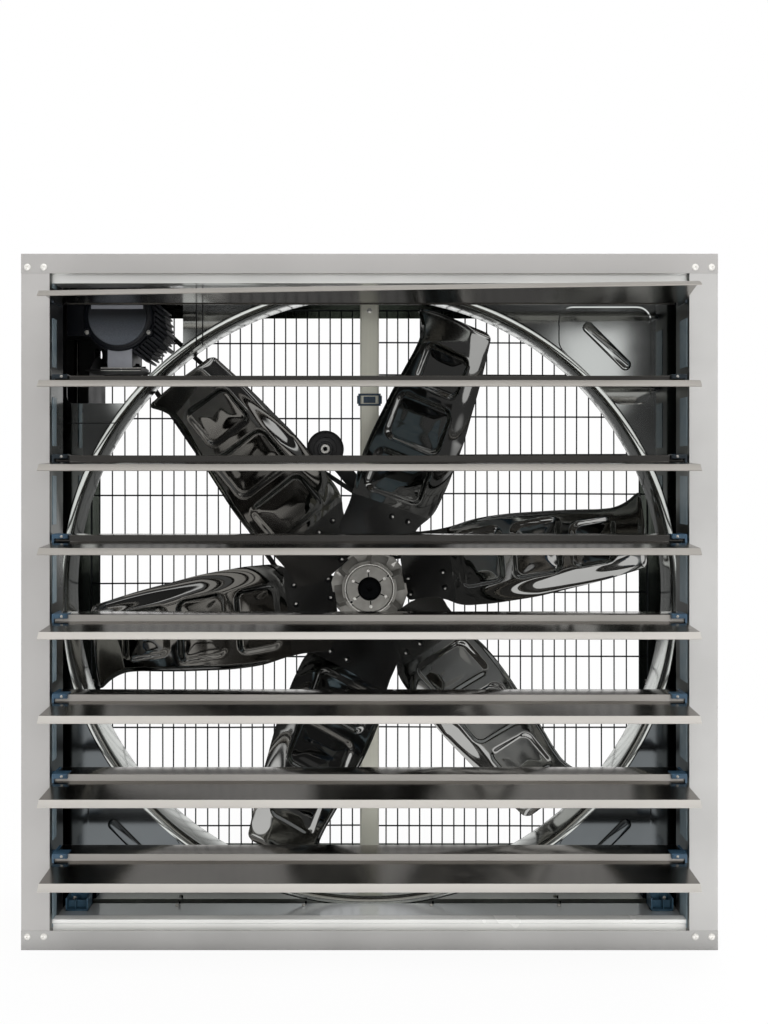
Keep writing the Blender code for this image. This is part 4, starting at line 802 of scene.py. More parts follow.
def shutter():
    """Eight louvres with their bushes, the upper three in the darker plastic, and the two tie rods."""
    plain = {False: louvre_mesh(2), True: louvre_mesh(5)}
    sides = (("left", -1), ("right", 1))
    bushes = {finish: [(hand, bush_mesh(side, finish)) for hand, side in sides] for finish in (SLATE, BLUE)}
    for number in range(1, LOUVRES + 1):
        origin = (0, at(PIVOT_DEPTH), LOUVRE_FIRST + (LOUVRES - number) * LOUVRE_PITCH)
        body = f"shutter_blade_{number}"
        mesh = plain[number > 4] if number > 1 else louvre_mesh(1)
        piece(f"louvre_{number}_sheet", mesh, body, "louvre_sheet", [f"louvre_{number}"], origin=origin)
        for hand, mesh in bushes[SLATE if number < 4 else BLUE]:
            name = f"louvre_bush_{hand}_{number}"
            piece(name + "_moulding", mesh, body, "blue_plastic", [name], bevel=0.0006, origin=origin)
    for name in ("left_tie_rod", "right_tie_rod"):
        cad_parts[name].data.materials[0] = LINK_PLASTIC


def corner_guides():
    """Open boxes with two webs, screwed to the ends of the bottom rail."""
    outer, inner, low = 0.6225, 0.5765, 0.0483
    back = at(0.108)
    front = back - 0.036
    walls = (
        (outer, inner, front, back, 0, 0.003),
        (outer, inner, back - 0.003, back, 0, 0.026),
        (outer, outer - 0.003, front, back, 0, 0.026),
        (inner + 0.003, inner, front, back, 0, 0.026),
        (outer - 0.003, inner + 0.003, front + 0.014, front + 0.0165, 0.003, 0.017),
        (outer - 0.018, outer - 0.0205, front + 0.004, back - 0.003, 0.003, 0.02),
    )
    for name, side in (("left_corner_guide", -1), ("right_corner_guide", 1)):
        shape = Shape(name + "_moulding")
        for start, stop, y0, y1, z0, z1 in walls:
            shape.put(block(*across(side, start, stop), y0, y1, low + z0, low + z1), GUIDE_BLUE_SHADED)
        shape.put(pan_screw(), ZINC, toward(side * (outer - 0.01), back - 0.0035, low + 0.014))
        shape.piece("housing", "blue_plastic", [name], bevel=0.0006)


# Rear guard and support bar

def guards():
    """Two panels of crossed wires inside a border wire, and the clips that hold them."""
    rows = {
        "left": (1.2489, 1.1605, 1.0722, 0.9816, 0.891, 0.788, 0.6851, 0.5987, 0.5122, 0.4293, 0.3463, 0.2304,
                 0.1145),
        "right": (1.2501, 1.1743, 1.0765, 0.9863, 0.895, 0.79, 0.6628, 0.588, 0.5134, 0.431, 0.3463, 0.2304,
                  0.1134),
    }
    low, high, inside, edge = 0.0535, HEIGHT - 0.0535, 0.0035, 0.6545
    y = at(GUARD_DEPTH)
    border = [(inside, low), (edge, low), (edge, high), (inside, high)]
    jitter = random.Random(11)
    for name, side in (("left", -1), ("right", 1)):
        shape = Shape(name + "_guard_wires")
        for (x0, z0), (x1, z1) in zip(border, border[1:] + border[:1]):
            shape.put(tube([(side * x0, y, z0), (side * x1, y, z1)], 0.0019), WIRE)
        for z in rows[name]:
            slope = jitter.uniform(-0.0015, 0.0015)
            bow = jitter.uniform(-0.001, 0.001)
            spots = ((inside, z - slope), (0.33, z + bow), (edge, z + slope))
            shape.put(tube([(side * x, y + 0.0004, level) for x, level in spots], 0.0018), WIRE)
        x = 0.0137
        while x < edge - 0.012:
            lean = jitter.uniform(-0.0012, 0.0012)
            bow = jitter.uniform(-0.0008, 0.0008)
            spots = ((x - lean, low), (x + bow, AXIS_HEIGHT), (x + lean, high))
            shape.put(tube([(side * out, y - 0.0001, z) for out, z in spots], 0.0016), WIRE)
            x += 0.0263 if x < 0.47 else 0.0295
        shape.piece("housing", "guard_wire", [name + "_guard"])

    clips = Shape("guard_clips")
    strip = folded([(0.648, at(0.3954)), (0.662, at(0.3954)), (0.662, at(0.3985)), (0.676, at(0.3985))],
                   0.0012, 0.0008, 2)
    for side in (-1, 1):
        for z in (0.16, 0.45, 0.93, 1.22):
            clips.put(prism([(x * side, y) for x, y in strip], "Z", z - 0.009, z + 0.009), ZINC)
            clips.put(pan_screw(0.0038), ZINC, toward(side * 0.669, at(0.3972), z))
    clips.piece("housing", "turned_steel")


def support_bar():
    """Upright channel behind the rotor, its end bolts and the plastic buckle on it."""
    front, back = at(0.3732), at(0.3952)
    outline = folded([(0.02, back), (0.02, front), (-0.02, front), (-0.02, back)], 0.002, 0.003, 4)
    shape = Shape("support_bar_channel").put(prism(outline, "Z", *UPRIGHT), BAR_STEEL)
    shape.piece("housing", "galvanised_sheet", ["support_bar"])

    middle = 1.1155
    boxes = []
    for side in (-1, 1):
        boxes.append((*across(side, 0.0215, 0.0262), -0.0085, 0.008, -0.0145, 0.0135))
        boxes.append((*across(side, 0.0262, 0.029), -0.006, -0.0004, -0.01, 0.009))
    for z0, z1 in ((0.0092, 0.0135), (-0.0145, -0.0102)):
        boxes.append((-0.022, 0.022, -0.008, -0.0004, z0, z1))
    boxes.append((-0.014, 0.014, -0.005, -0.0004, -0.008, 0.0068))
    boxes += [(x - 0.0014, x + 0.0014, -0.0066, -0.0048, -0.006, 0.0048) for x in (-0.007, 0.0, 0.007)]
    buckle = Shape("bar_buckle")
    for x0, x1, y0, y1, z0, z1 in boxes:
        buckle.put(block(x0, x1, front + y0, front + y1, middle + z0, middle + z1), CLIP_PLASTIC)
    buckle.piece("housing", "blue_plastic", bevel=0.0008)

    ends = Shape("bar_end_bolts")
    for z in (0.03, 0.058, HEIGHT - 0.03, HEIGHT - 0.058):
        ends.put(hex_bolt(0.0065, 0.004, 0.01), ZINC, toward(0, front, z))
    ends.piece("housing", "turned_steel")


def bearing_housing():
    """Pillow block on the bar: barrel, ribbed foot, two bolts and a grease nipple."""
    front, back, bore = at(0.326), BAR_FACE, 0.0128
    length = back - front
    barrel = [(bore, 0.002), (0.015, 0), (0.033, 0), (0.038, 0.004), (0.038, length - 0.002), (0.037, length),
              (bore, length)]
    shape = Shape("bearing_housing_casting").put(turned(barrel, front, 0, AXIS_HEIGHT, 64), BLACK_PAINT)
    shape.put(drum(0.024, front - 0.0015, front + 0.002, 0, AXIS_HEIGHT, bore=0.0132), ZINC)
    foot = [(-0.018, 0.026), (0.018, 0.026), (0.018, 0.058), (0.012, 0.065), (-0.012, 0.065), (-0.018, 0.058)]
    for sign in (-1, 1):
        shape.put(prism([(x, AXIS_HEIGHT + sign * z) for x, z in foot], "Y", back - 0.009, back), BLACK_PAINT)
        low, high = [AXIS_HEIGHT + z for z in across(sign, 0.034, 0.05)]
        shape.put(block(-0.004, 0.004, back - 0.018, back - 0.008, low, high), BLACK_PAINT)
        shape.put(hex_bolt(0.0065, 0.005, 0.0095), ZINC, toward(0, back - 0.009, AXIS_HEIGHT + sign * 0.055))
    nipple = [(0.02, front + 0.022, AXIS_HEIGHT + 0.032), (0.025, front + 0.022, AXIS_HEIGHT + 0.04)]
    shape.put(tube(nipple, 0.0028, 10), ZINC)
    shape.piece("housing", "black_paint", ["bearing_housing"], bevel=0.0008)


# Rotor

def hub():
    """Die-cast hub: thin bright rim round a recessed face, six pitched arm roots and their flat arms."""
    shape = Shape("hub_casting")
    face = HUB_FRONT
    floor = face + 0.004
    hollow = [(0.0258, 0.004), (0.0505, 0.004), (0.0512, 0.007), (0.0522, 0.007), (0.0522, 0.015),
              (0.0258, 0.015)]
    rim = [(0.0522, 0.0006), (0.0528, 0), (0.0544, 0), (0.055, 0.0006), (0.055, 0.015), (0.0522, 0.015)]
    collar = [(0.0549, 0.007), (0.061, 0.008), (0.061, 0.02), (0.0549, 0.02)]
    for profile, finish in ((hollow, HUB_CAST), (rim, HUB_RIM), (collar, HUB_CAST)):
        shape.put(turned(profile, face, segments=96), finish)
    screw = [(0, -0.0012), (0.0034, -0.0012), (0.0042, -0.0004), (0.0042, 0.004), (0, 0.004)]
    for index in range(6):
        spoke = spun(34.6 + 60 * index)
        shape.put(turned(screw, floor, 0.0396, 0, 20), HUB_RIM, spoke)
        shape.put(block(0.0262, 0.0362, floor - 0.0003, floor + 0.001, -0.0012, 0.0012), BLACK_OXIDE, spoke)
        shape.put(block(0.0436, 0.0508, floor - 0.001, floor + 0.001, -0.0009, 0.0009), HUB_CAST, spoke)
    eye = [(0, -0.0008), (0.0028, -0.0008), (0.003, -0.003), (0.0044, -0.003), (0.0048, -0.0022),
           (0.0048, 0.005), (0, 0.005)]
    for turn in (35, 216.5):
        shape.put(turned(eye, floor, 0.0492, 0, 20), HUB_RIM, spun(turn))
        shape.put(drum(0.0028, floor - 0.0012, floor, 0.0492, 0, 16), BLACK_OXIDE, spun(turn))
    body = [polar(0.086, 40 + 60 * index + offset) for index in range(6) for offset in (-12, 12)]
    shape.put(prism(body, "Y", face + 0.029, face + 0.054), HUB_CAST)
    gusset = [(0.07, -0.005), (0.085, 0.0), (0.07, 0.005)]
    for turn in (44, 155):
        shape.put(prism(gusset, "Y", face + 0.028, face + 0.03), HUB_RIM, spun(turn))
    root = [(0.05, -0.037), (0.074, -0.041), (0.077, -0.03), (0.077, 0.026), (0.072, 0.033), (0.05, 0.029)]
    arm = [(0.06, -0.041), (0.176, -0.041), (0.185, -0.034), (0.185, 0.016), (0.176, 0.023), (0.06, 0.023)]
    rib = [(0.06, -0.013), (0.17, -0.012), (0.17, -0.006), (0.06, -0.005)]
    for turn in BLADE_TURNS:
        shape.put(prism(root, "Y", -0.013, 0.006), HUB_CAST, arm_matrix(turn))
        # the flat arms and ribs take the near-black copy: painted shade
        shape.put(prism(arm, "Y", -0.003, 0.003), ARM_CAST_SHADED, arm_matrix(turn))
        shape.put(prism(rib, "Y", 0.003, 0.011), ARM_CAST_SHADED, arm_matrix(turn))
    shape.piece("fan_rotor", "cast_aluminium", ["hub"], bevel=0.0007, origin=AXIS)

    head = [(0, 0.005), (0.004, 0.0042), (0.0052, 0.001), (0.018, 0), (0.0235, 0.0006), (0.025, 0.002),
            (0.025, 0.0117), (0.0125, 0.0117), (0.0125, 0.05), (0, 0.05)]
    tail = [(0, 0), (0.0125, 0), (0.0125, 0.0845), (0.0115, 0.0855), (0.003, 0.0855), (0, 0.0825)]
    shaft = Shape("fan_shaft_turned").put(turned(head, at(0.234), segments=64), BLACK_OXIDE)
    shaft.put(turned(tail, at(0.2845)), SHAFT_STEEL)
    shaft.piece("fan_rotor", "blackened_steel", ["fan_shaft"], sharp=50, origin=AXIS)


def arm_matrix(turn):
    """Matrix from a blade arm's own pitched plane to its place round the hub."""
    return spun(turn) @ Matrix.Translation((0, ARM_PLANE, 0)) @ Matrix.Rotation(PITCH_ROOT, 4, "X")


def curve_value(places, values, where):
    """Smooth curve through given values (cubic Hermite with finite differences)."""
    places = np.asarray(places, float)
    values = np.asarray(values, float)
    slopes = np.gradient(values, places)
    index = np.clip(np.searchsorted(places, where) - 1, 0, len(places) - 2)
    span = places[index + 1] - places[index]
    t = (where - places[index]) / span
    before = (2 * t ** 3 - 3 * t ** 2 + 1) * values[index] + (t ** 3 - 2 * t ** 2 + t) * span * slopes[index]
    after = (3 * t ** 2 - 2 * t ** 3) * values[index + 1] + (t ** 3 - t ** 2) * span * slopes[index + 1]
    return float(before + after)


def box_distance(a, b, a0, a1, b0, b1, radius):
    """Distance inside a rounded rectangle, negative outside."""
    qa = abs(a - (a0 + a1) / 2) - (a1 - a0) / 2 + radius
    qb = abs(b - (b0 + b1) / 2) - (b1 - b0) / 2 + radius
    return radius - math.hypot(max(qa, 0.0), max(qb, 0.0)) - min(max(qa, qb), 0.0)


def blade_relief(radius, t):
    """Raised pockets of a blade, as height towards the front."""
    height = 0.0
    for pocket in POCKETS:
        inside = box_distance(radius, t, *pocket)
        height += 0.0042 * smooth_step(-0.002, 0.0085, inside) + 0.001 * smooth_step(0.0085, 0.04, inside)
    return height


def blade_section(nominal):
    """Left and right edge of a blade at a radius, with the round corners at its root and tip."""
    corner = 0.012
    left = curve_value(BLADE_RADII, BLADE_LEFT, nominal)
    right = -curve_value(BLADE_RADII, BLADE_RIGHT, nominal)
    for reach in (TIP_RADIUS - nominal, nominal - ROOT_RADIUS):
        if reach < corner:
            shrink = corner * (1 - math.sqrt(max(0.0, 1 - (1 - reach / corner) ** 2)))
            left -= shrink
            right += shrink
    return left, right


def blade_mesh():
    """A pressed blade along +X with the hooked anticlockwise tip corner towards +Z."""
    stations, strips = 150, 64
    root_lift, half_sheet = 0.00405, 0.00075
    points, faces = [], []
    for layer in (-1, 1):
        for i in range(stations + 1):
            share = i / stations
            nominal = ROOT_RADIUS + (TIP_RADIUS - ROOT_RADIUS) * share
            left, right = blade_section(nominal)
            beyond = nominal - FLAT_RADIUS
            pitch = PITCH_ROOT + (PITCH_TIP - PITCH_ROOT) * max(0.0, beyond / (TIP_RADIUS - FLAT_RADIUS))
            bulge = min(1.0, max(0.0, beyond / FLAT_RADIUS))
            for j in range(strips + 1):
                part = 0.5 - 0.5 * math.cos(math.pi * j / strips) * 0.35 - 0.65 * (0.5 - j / strips)
                t = left + (right - left) * part
                inward = TIP_RADIUS - math.sqrt(TIP_RADIUS ** 2 - t ** 2)
                radius = nominal - inward * smooth_step(0.5, 1.0, share)
                chord = t / math.cos(pitch)
                sag = (left - right) * 0.05 * bulge * 4 * part * (1 - part)
                curl = 0.01 * bulge * smooth_step(-right - 0.042, -right, -t)
                curl += 0.0035 * bulge * smooth_step(left - 0.01, left, t)
                lift = root_lift - sag + curl + blade_relief(radius, t) + layer * half_sheet
                y = ARM_PLANE - chord * math.sin(pitch) - lift * math.cos(pitch)
                points.append((radius, y, chord * math.cos(pitch) - lift * math.sin(pitch)))
    row = strips + 1
    total = (stations + 1) * row
    for i in range(stations):
        for j in range(strips):
            a = i * row + j
            faces.append((a, a + 1, a + row + 1, a + row))
            faces.append((total + a, total + a + row, total + a + row + 1, total + a + 1))
        for a in (i * row, i * row + strips):
            faces.append((a, a + row, total + a + row, total + a))
    for i in (0, stations):
        faces += [(a, a + 1, total + a + 1, total + a) for a in range(i * row, i * row + strips)]
    mesh = Shape("blade_pressing").put((points, faces), STAINLESS).mesh(60)
    # the flat root gets a rougher, darker copy of the blade steel; the darkness is painted shade
    return refinish(mesh, BLADE_ROOT_SHADED, lambda centre, normal: centre.x < FLAT_RADIUS)


def blades():
    """Six pressed blades, each with four bolts through its arm and a nut behind every bolt."""
    mesh = blade_mesh()
    for number, turn in enumerate(BLADE_TURNS, start=1):
        piece(f"blade_{number}_pressing", mesh, "fan_rotor", "polished_stainless", [f"blade_{number}"],
              origin=AXIS, turn=turn)
    bolts = Shape("blade_bolts")
    tip = [(0, -0.006), (0.002, -0.0056), (0.0031, -0.0042), (0.0031, -0.002), (0, -0.002)]
    over = Matrix.Rotation(math.pi, 4, "X")
    for turn in BLADE_TURNS:
        for radius in (0.088, 0.166):
            for t in (0.011, -0.028):
                up = t / math.cos(PITCH_ROOT)
                front = arm_matrix(turn) @ Matrix.Translation((radius, -0.0049, up))
                bolts.put(hex_bolt(0.0044, 0.003, 0.0066), RACE_STEEL, front)
                # the near-white tip on each front bolt is a painted highlight
                bolts.put(turned(tip, segments=16), RIVET_HIGHLIGHTED, front)
                rear = arm_matrix(turn) @ Matrix.Translation((radius, 0.0031, up)) @ over
                bolts.put(hex_bolt(0.0048, 0.004, 0.0065), ZINC, rear)
    bolts.piece("fan_rotor", "turned_steel", origin=AXIS)


# Belt drive

def grooved(outer):
    """Rim and V-groove of a pulley from front to back, as (radius, distance behind its middle)."""
    half, edge = 0.012, 0.0008
    front = [(outer - edge, -half), (outer, edge - half), (outer, -0.0073), (outer - 0.0006, -0.0067),
             (outer - 0.011, -0.0034)]
    return front + [(radius, -along) for radius, along in front[::-1]]


def driven_pulley():
    """Cast pulley behind the hub: boss, dished web with six round holes, grooved rim."""
    outer, inner, boss, web = 0.16, 0.142, -0.0507, -0.035
    profile = [(0.0128, boss), (0.0285, boss), (0.03, boss + 0.0015), (0.03, web), (0.034, web + 0.001),
               (inner - 0.004, -0.0125), (inner, -0.012), *grooved(outer), (inner, 0.012), (inner, -0.006),
               (0.034, web + 0.0075), (0.03, web + 0.009), (0.03, boss + 0.029), (0.0285, boss + 0.03),
               (0.0128, boss + 0.03)]
    shape = Shape("driven_pulley_casting").put(turned(profile, at(BELT_DEPTH), segments=120), BLACK_PAINT)
    holes = [circle(0.026, 32, *polar(0.092, 30 + 60 * index)) for index in range(6)]
    mesh = carved(shape.mesh(), [prism(hole, "Y", at(0.29), at(0.345)) for hole in holes])
    piece("driven_pulley_casting", mesh, "fan_rotor", "black_paint", ["driven_pulley"], origin=AXIS)


def belt_line(step):
    """Belt middle line with its outward normal, round the motor pulley, driven pulley and idler."""
    wheels = [(Vector((MOTOR_X, MOTOR_Z)), 0.041), (Vector((0, AXIS_HEIGHT)), 0.156),
              (Vector((IDLER_X, IDLER_Z)), -0.0463)]
    turns = []
    for (centre, radius), (other, other_radius) in zip(wheels, wheels[1:] + wheels[:1]):
        span = other - centre
        turns.append(math.atan2(span.y, span.x) - math.acos((radius - other_radius) / span.length))
    result = []
    for index, (centre, radius) in enumerate(wheels):
        start = turns[index - 1]
        sweep = (turns[index] - start) % (2 * math.pi)
        if radius < 0:
            sweep -= 2 * math.pi
        count = max(2, math.ceil(abs(sweep) / step))
        for i in range(count + 1):
            turn = start + sweep * i / count
            normal = Vector((math.cos(turn), math.sin(turn)))
            result.append((centre + normal * radius, normal))
    return result


def drive_belt():
    """V-belt as one loop at its running length."""
    section = [(-0.006, 0.005), (0.006, 0.005), (0.0065, 0.0042), (0.0041, -0.0044), (0.0035, -0.005),
               (-0.0035, -0.005), (-0.0041, -0.0044), (-0.0065, 0.0042)]
    rings = []
    for point, normal in belt_line(math.radians(2.5)):
        spots = [(point + normal * height, side) for side, height in section]
        rings.append([(spot.x, at(BELT_DEPTH) + side, spot.y) for spot, side in spots])
    belt = Shape("v_belt").put(skinned(rings, True), RUBBER)
    belt.piece("housing", "belt_rubber", ["drive_belt"], sharp=40)


def idler():
    """Moulded idler wheel on its bearing, and the arm with its stud that presses it on the belt."""
    front, back, width = at(0.323), at(0.347), 0.024
    tread = [(0.0165, 0.003), (0.0175, 0.0004), (0.019, 0), (0.026, 0), (0.027, 0.0012), (0.036, 0.0012),
             (0.037, 0), (0.0405, 0), (0.042, 0.0015), (0.042, width - 0.0015), (0.0405, width),
             (0.0165, width)]
    seal = [(0.0117, 0.0044), (0.0135, 0.004), (0.0135, width - 0.004), (0.0117, width - 0.004)]
    wheel = Shape("idler_wheel_moulding").put(turned(tread, front, segments=72), BLACK_PLASTIC)
    wheel.put(drum(0.0163, front + 0.0032, back - 0.003, bore=0.0135), RACE_STEEL)
    wheel.put(turned(seal, front, segments=40), BLACK_PLASTIC)
    wheel.piece("idler_wheel", "black_plastic", ["idler_pulley"], origin=(IDLER_X, 0, IDLER_Z), sharp=50)

    plate = BAR_FACE - 0.006
    lean = math.degrees(math.atan2(IDLER_Z - ARM_FOOT_Z, IDLER_X))
    outline = arc(0.017, lean + 90, 180, 16, 0, ARM_FOOT_Z) + arc(0.017, lean - 90, 180, 16, IDLER_X, IDLER_Z)
    ring = [(0.0045, 0.0028), (0.0052, 0), (0.0098, 0), (0.0108, 0.001), (0.0108, 0.005), (0.0045, 0.005)]
    arm = Shape("idler_arm_plate").put(prism(outline, "Y", plate, BAR_FACE), BLACK_PAINT)
    arm.put(drum(0.012, at(0.3275), at(0.3668), IDLER_X, IDLER_Z, 32, 0.0082), BLACK_PAINT)
    arm.put(turned(ring, at(0.3207), IDLER_X, IDLER_Z, 32), ZINC)
    arm.put(drum(0.0045, at(0.3232), at(0.3257), IDLER_X, IDLER_Z, 20), BLACK_OXIDE)
    arm.put(hex_bolt(0.0085, 0.006, 0.012), ZINC, toward(0, plate, ARM_FOOT_Z))
    arm.piece("housing", "black_paint", ["idler_arm"], bevel=0.0006)


def motor_pulley():
    """Small cast pulley on the motor shaft; the motor's own rotor keeps its solid in shaft steel."""
    profile = [(0.0128, -0.01), (0.02, -0.0105), (0.034, -0.0112), (0.036, -0.012), *grooved(0.045),
               (0.036, 0.012), (0.034, 0.009), (0.02, 0.009), (0.0195, 0.012), (0.0128, 0.012)]
    shape = Shape("motor_pulley_casting").put(turned(profile, at(BELT_DEPTH), segments=72), PULLEY_CAST)
    shape.piece("motor_armature", "cast_aluminium", ["motor_pulley"], origin=(MOTOR_X, 0, MOTOR_Z))
    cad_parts["motor_rotor"].data.materials[0] = SHAFT_STEEL


# Motor

def motor():
    """Finned motor with its bells, foot and bolts."""
    front_bell()
    motor_body()
    edge, depth = at(0.3043), 0.012
    profile = [(0.0128, 0), (0.075, 0), (0.075, 0.006), (0.07, depth), (0.026, depth), (0.024, 0.0105),
               (0.0128, 0.0105)]
    rear = Shape("motor_rear_bell_casting").put(turned(profile, edge, MOTOR_X, MOTOR_Z, 96), MOTOR_PAINT)
    for turn in (45, 135, 225, 315):
        x, z = polar(0.062, turn, MOTOR_X, MOTOR_Z)
        rear.put(pan_screw(0.0045, 0.003), ZINC, toward(x, edge + depth, z, (0, -1, 0)))
    rear.piece("housing", "motor_paint", ["motor_rear_bell"], sharp=40)


def front_bell():
    """Front bell: rough disc, rounded ring, two screw lugs and a pale strip."""
    front, depth = at(0.19), 0.0157
    disc = [(0, -0.002), (0.0575, -0.002), (0.06, -0.003), (0.0625, -0.003), (0.0635, -0.001),
            (0.0635, 0.004), (0, 0.004)]
    ring = [(0.0632, 0.0035), (0.0685, 0.005), (0.07, 0.003), (0.0735, 0.004), (0.075, 0.006), (0.075, depth),
            (0, depth), (0, 0.0038), (0.0632, 0.0038)]
    lug = [(0, 0.0002), (0.008, 0.0002), (0.009, 0.0015), (0.009, depth), (0, depth)]
    bell = Shape("motor_front_bell_casting").put(turned(disc, front, MOTOR_X, MOTOR_Z, 96), MOTOR_DISC)
    bell.put(turned(ring, front, MOTOR_X, MOTOR_Z, 96), MOTOR_PAINT)
    for turn in (-28, 208):
        x, z = polar(0.0755, turn, MOTOR_X, MOTOR_Z)
        bell.put(turned(lug, front, x, z, 24), MOTOR_PAINT)
        bell.put(pan_screw(0.005, 0.003), ZINC, toward(x, front + 0.0002, z))
    bell.put(block(MOTOR_X - 0.056, MOTOR_X + 0.056, front - 0.0034, front - 0.0015,
                   MOTOR_Z + 0.0146, MOTOR_Z + 0.023), FOOT_PAINT)
    bell.piece("housing", "motor_paint", ["motor_front_bell"], sharp=40)


def motor_body():
    """Barrel with cooling ribs, a web under them and the foot with its bolts."""
    start, end, sole = at(0.206), at(0.304), MOTOR_Z - 0.1117
    body = Shape("motor_body_casting").put(drum(0.078, start, end, MOTOR_X, MOTOR_Z, 96, 0.041), MOTOR_PAINT)
    # cooling ribs run parallel and slant down to the right; one of them is a thick lug
    slant = Matrix.Translation((MOTOR_X, 0, MOTOR_Z)) @ spun(-38)
    for index in range(13):
        offset = 0.072 - index * 0.0092
        lug = index == 7
        reach = 0.126 if lug else min(0.109, 0.056 + (0.08 - offset) * 1.1)
        root = math.sqrt(max(0.0004, 0.07 ** 2 - offset ** 2))
        half = 0.0052 if lug else 0.0034
        side = [(root, -half), (reach - half, -half * 0.8), (reach, -half * 0.3)]
        rib = [(out, offset + up) for out, up in side] + [(out, offset - up) for out, up in side[::-1]]
        body.put(prism(rib, "Y", start + (0.004 if index % 2 else 0.0), end), MOTOR_PAINT, slant)
    web = [(min(0.103, 0.05 + (0.08 - up) * 1.1), up) for up in (0.07, 0.056, 0.042, 0.03, 0.0, -0.03)]
    body.put(prism([(0.0, 0.07), *web, (0.0, -0.03)], "Y", start + 0.022, end), MOTOR_PAINT, slant)
    foot = [(-0.0265, 0.0), (0.0265, 0.0), (0.0265, 0.047), (0.033, 0.06), (-0.033, 0.06), (-0.0265, 0.047)]
    body.put(prism([(MOTOR_X + x, sole + z) for x, z in foot], "Y", start, end), MOTOR_PAINT)
    body.put(block(MOTOR_X - 0.044, MOTOR_X + 0.044, start + 0.012, end, sole, sole + 0.006), BLACK_PAINT)
    body.put(block(MOTOR_X - 0.0245, MOTOR_X + 0.0285, start - 0.004, start, sole + 0.001, sole + 0.044),
             FOOT_PAINT)
    for x in (-0.036, 0.036):
        for depth in (0.222, 0.288):
            spot = toward(MOTOR_X + x, at(depth), sole + 0.006, (0, 0, -1))
            body.put(hex_bolt(0.005, 0.004, 0.008), BLACK_OXIDE, spot)
    body.piece("housing", "motor_paint", ["motor_body"], bevel=0.0008)


def motor_bracket():
    """Black side plate with an adjusting slot, a back plate, and a shelf with a bright front lip."""
    back, x, top = at(0.3952), MOTOR_X - 0.081, MOTOR_Z - 0.112
    low, high = 1.06, 1.34
    side = [(back, low), (back, high), (at(0.35), high), (at(0.35), 1.216), (at(0.3), 1.2), (at(0.262), 1.18),
            (at(0.245), 1.15), (at(0.245), low)]
    stretch = 0.0065
    slot = [(at(0.364) + math.copysign(stretch, a) + a, 1.2188 + b) for a, b in circle(0.0095, 20, start=9)]
    for name, form, cutter in (
            ("motor_bracket_side", prism(side, "X", x, x + 0.004), prism(slot, "X", x - 0.01, x + 0.01)),
            ("motor_bracket_back", block(x - 0.057, x + 0.0005, back - 0.004, back, low, high),
             block(x - 0.02, x - 0.002, back - 0.01, back + 0.01, 1.202, 1.236))):
        mesh = carved(Shape(name).put(form, BLACK_PAINT).mesh(), [cutter])
        piece(name, mesh, "housing", "black_paint", bevel=0.0006)

    left, right, near = MOTOR_X - 0.0366, MOTOR_X + 0.0503, x + 0.003
    shelf = Shape("motor_bracket_shelf")
    for x0, x1, y0, y1, z0, z1, finish in (
            (near, MOTOR_X + 0.05, 0.22, 0.317, -0.004, 0, BLACK_PAINT),
            (left, right, 0.193, 0.22, -0.004, 0, BLACK_PAINT),
            (left, right, 0.1915, 0.193, -0.0012, 0.0008, ZINC),
            (left, right, 0.1915, 0.193, -0.0062, -0.0046, ZINC),
            (left + 0.0006, right - 0.0005, 0.192, 0.1935, -0.004, -0.0005, BLACK_PAINT),
            (near, MOTOR_X + 0.01, 0.386, 0.39, 0, 0.09, BLACK_PAINT)):
        shelf.put(block(x0, x1, at(y0), at(y1), top + z0, top + z1), finish)
    for z in (1.09, 1.31):
        shelf.put(hex_bolt(0.0065, 0.0045, 0.01), ZINC, toward(x - 0.03, back - 0.004, z))
    shelf.piece("housing", "black_paint", ["motor_bracket"], bevel=0.0005)


def terminal_box():
    """Box with its lid towards the side wall, and a cable gland below it."""
    lid, left, right, front, back, low, high = -0.684, -0.68, -0.6223, at(0.215), at(0.29), 1.244, 1.324
    box = Shape("terminal_box_moulding").put(block(left, right, front, back, low, high), MOTOR_PAINT)
    box.put(block(lid, lid + 0.0045, front + 0.003, back - 0.003, low + 0.003, high - 0.003), MOTOR_PAINT)
    below = Matrix.Translation(((lid + right) / 2, (front + back) / 2, low))
    gland = below @ Matrix.Rotation(math.radians(90), 4, "X")
    nut = [(0.005, 0.006), (0.0092, 0.006), (0.0092, 0.013), (0.0075, 0.016), (0.005, 0.016)]
    box.put(prism(circle(0.01, 6), "Y", 0.0, 0.007), BLACK_PLASTIC, gland)
    box.put(turned(nut, segments=32), BLACK_PLASTIC, gland)
    box.piece("housing", "motor_paint", ["terminal_box"], bevel=0.0015)


# Stage, light and camera

def stage():
    placed("floor", Shape("floor").put(block(-9, 9, -9, 9, -0.02, 0.0), floor_paint()).mesh())


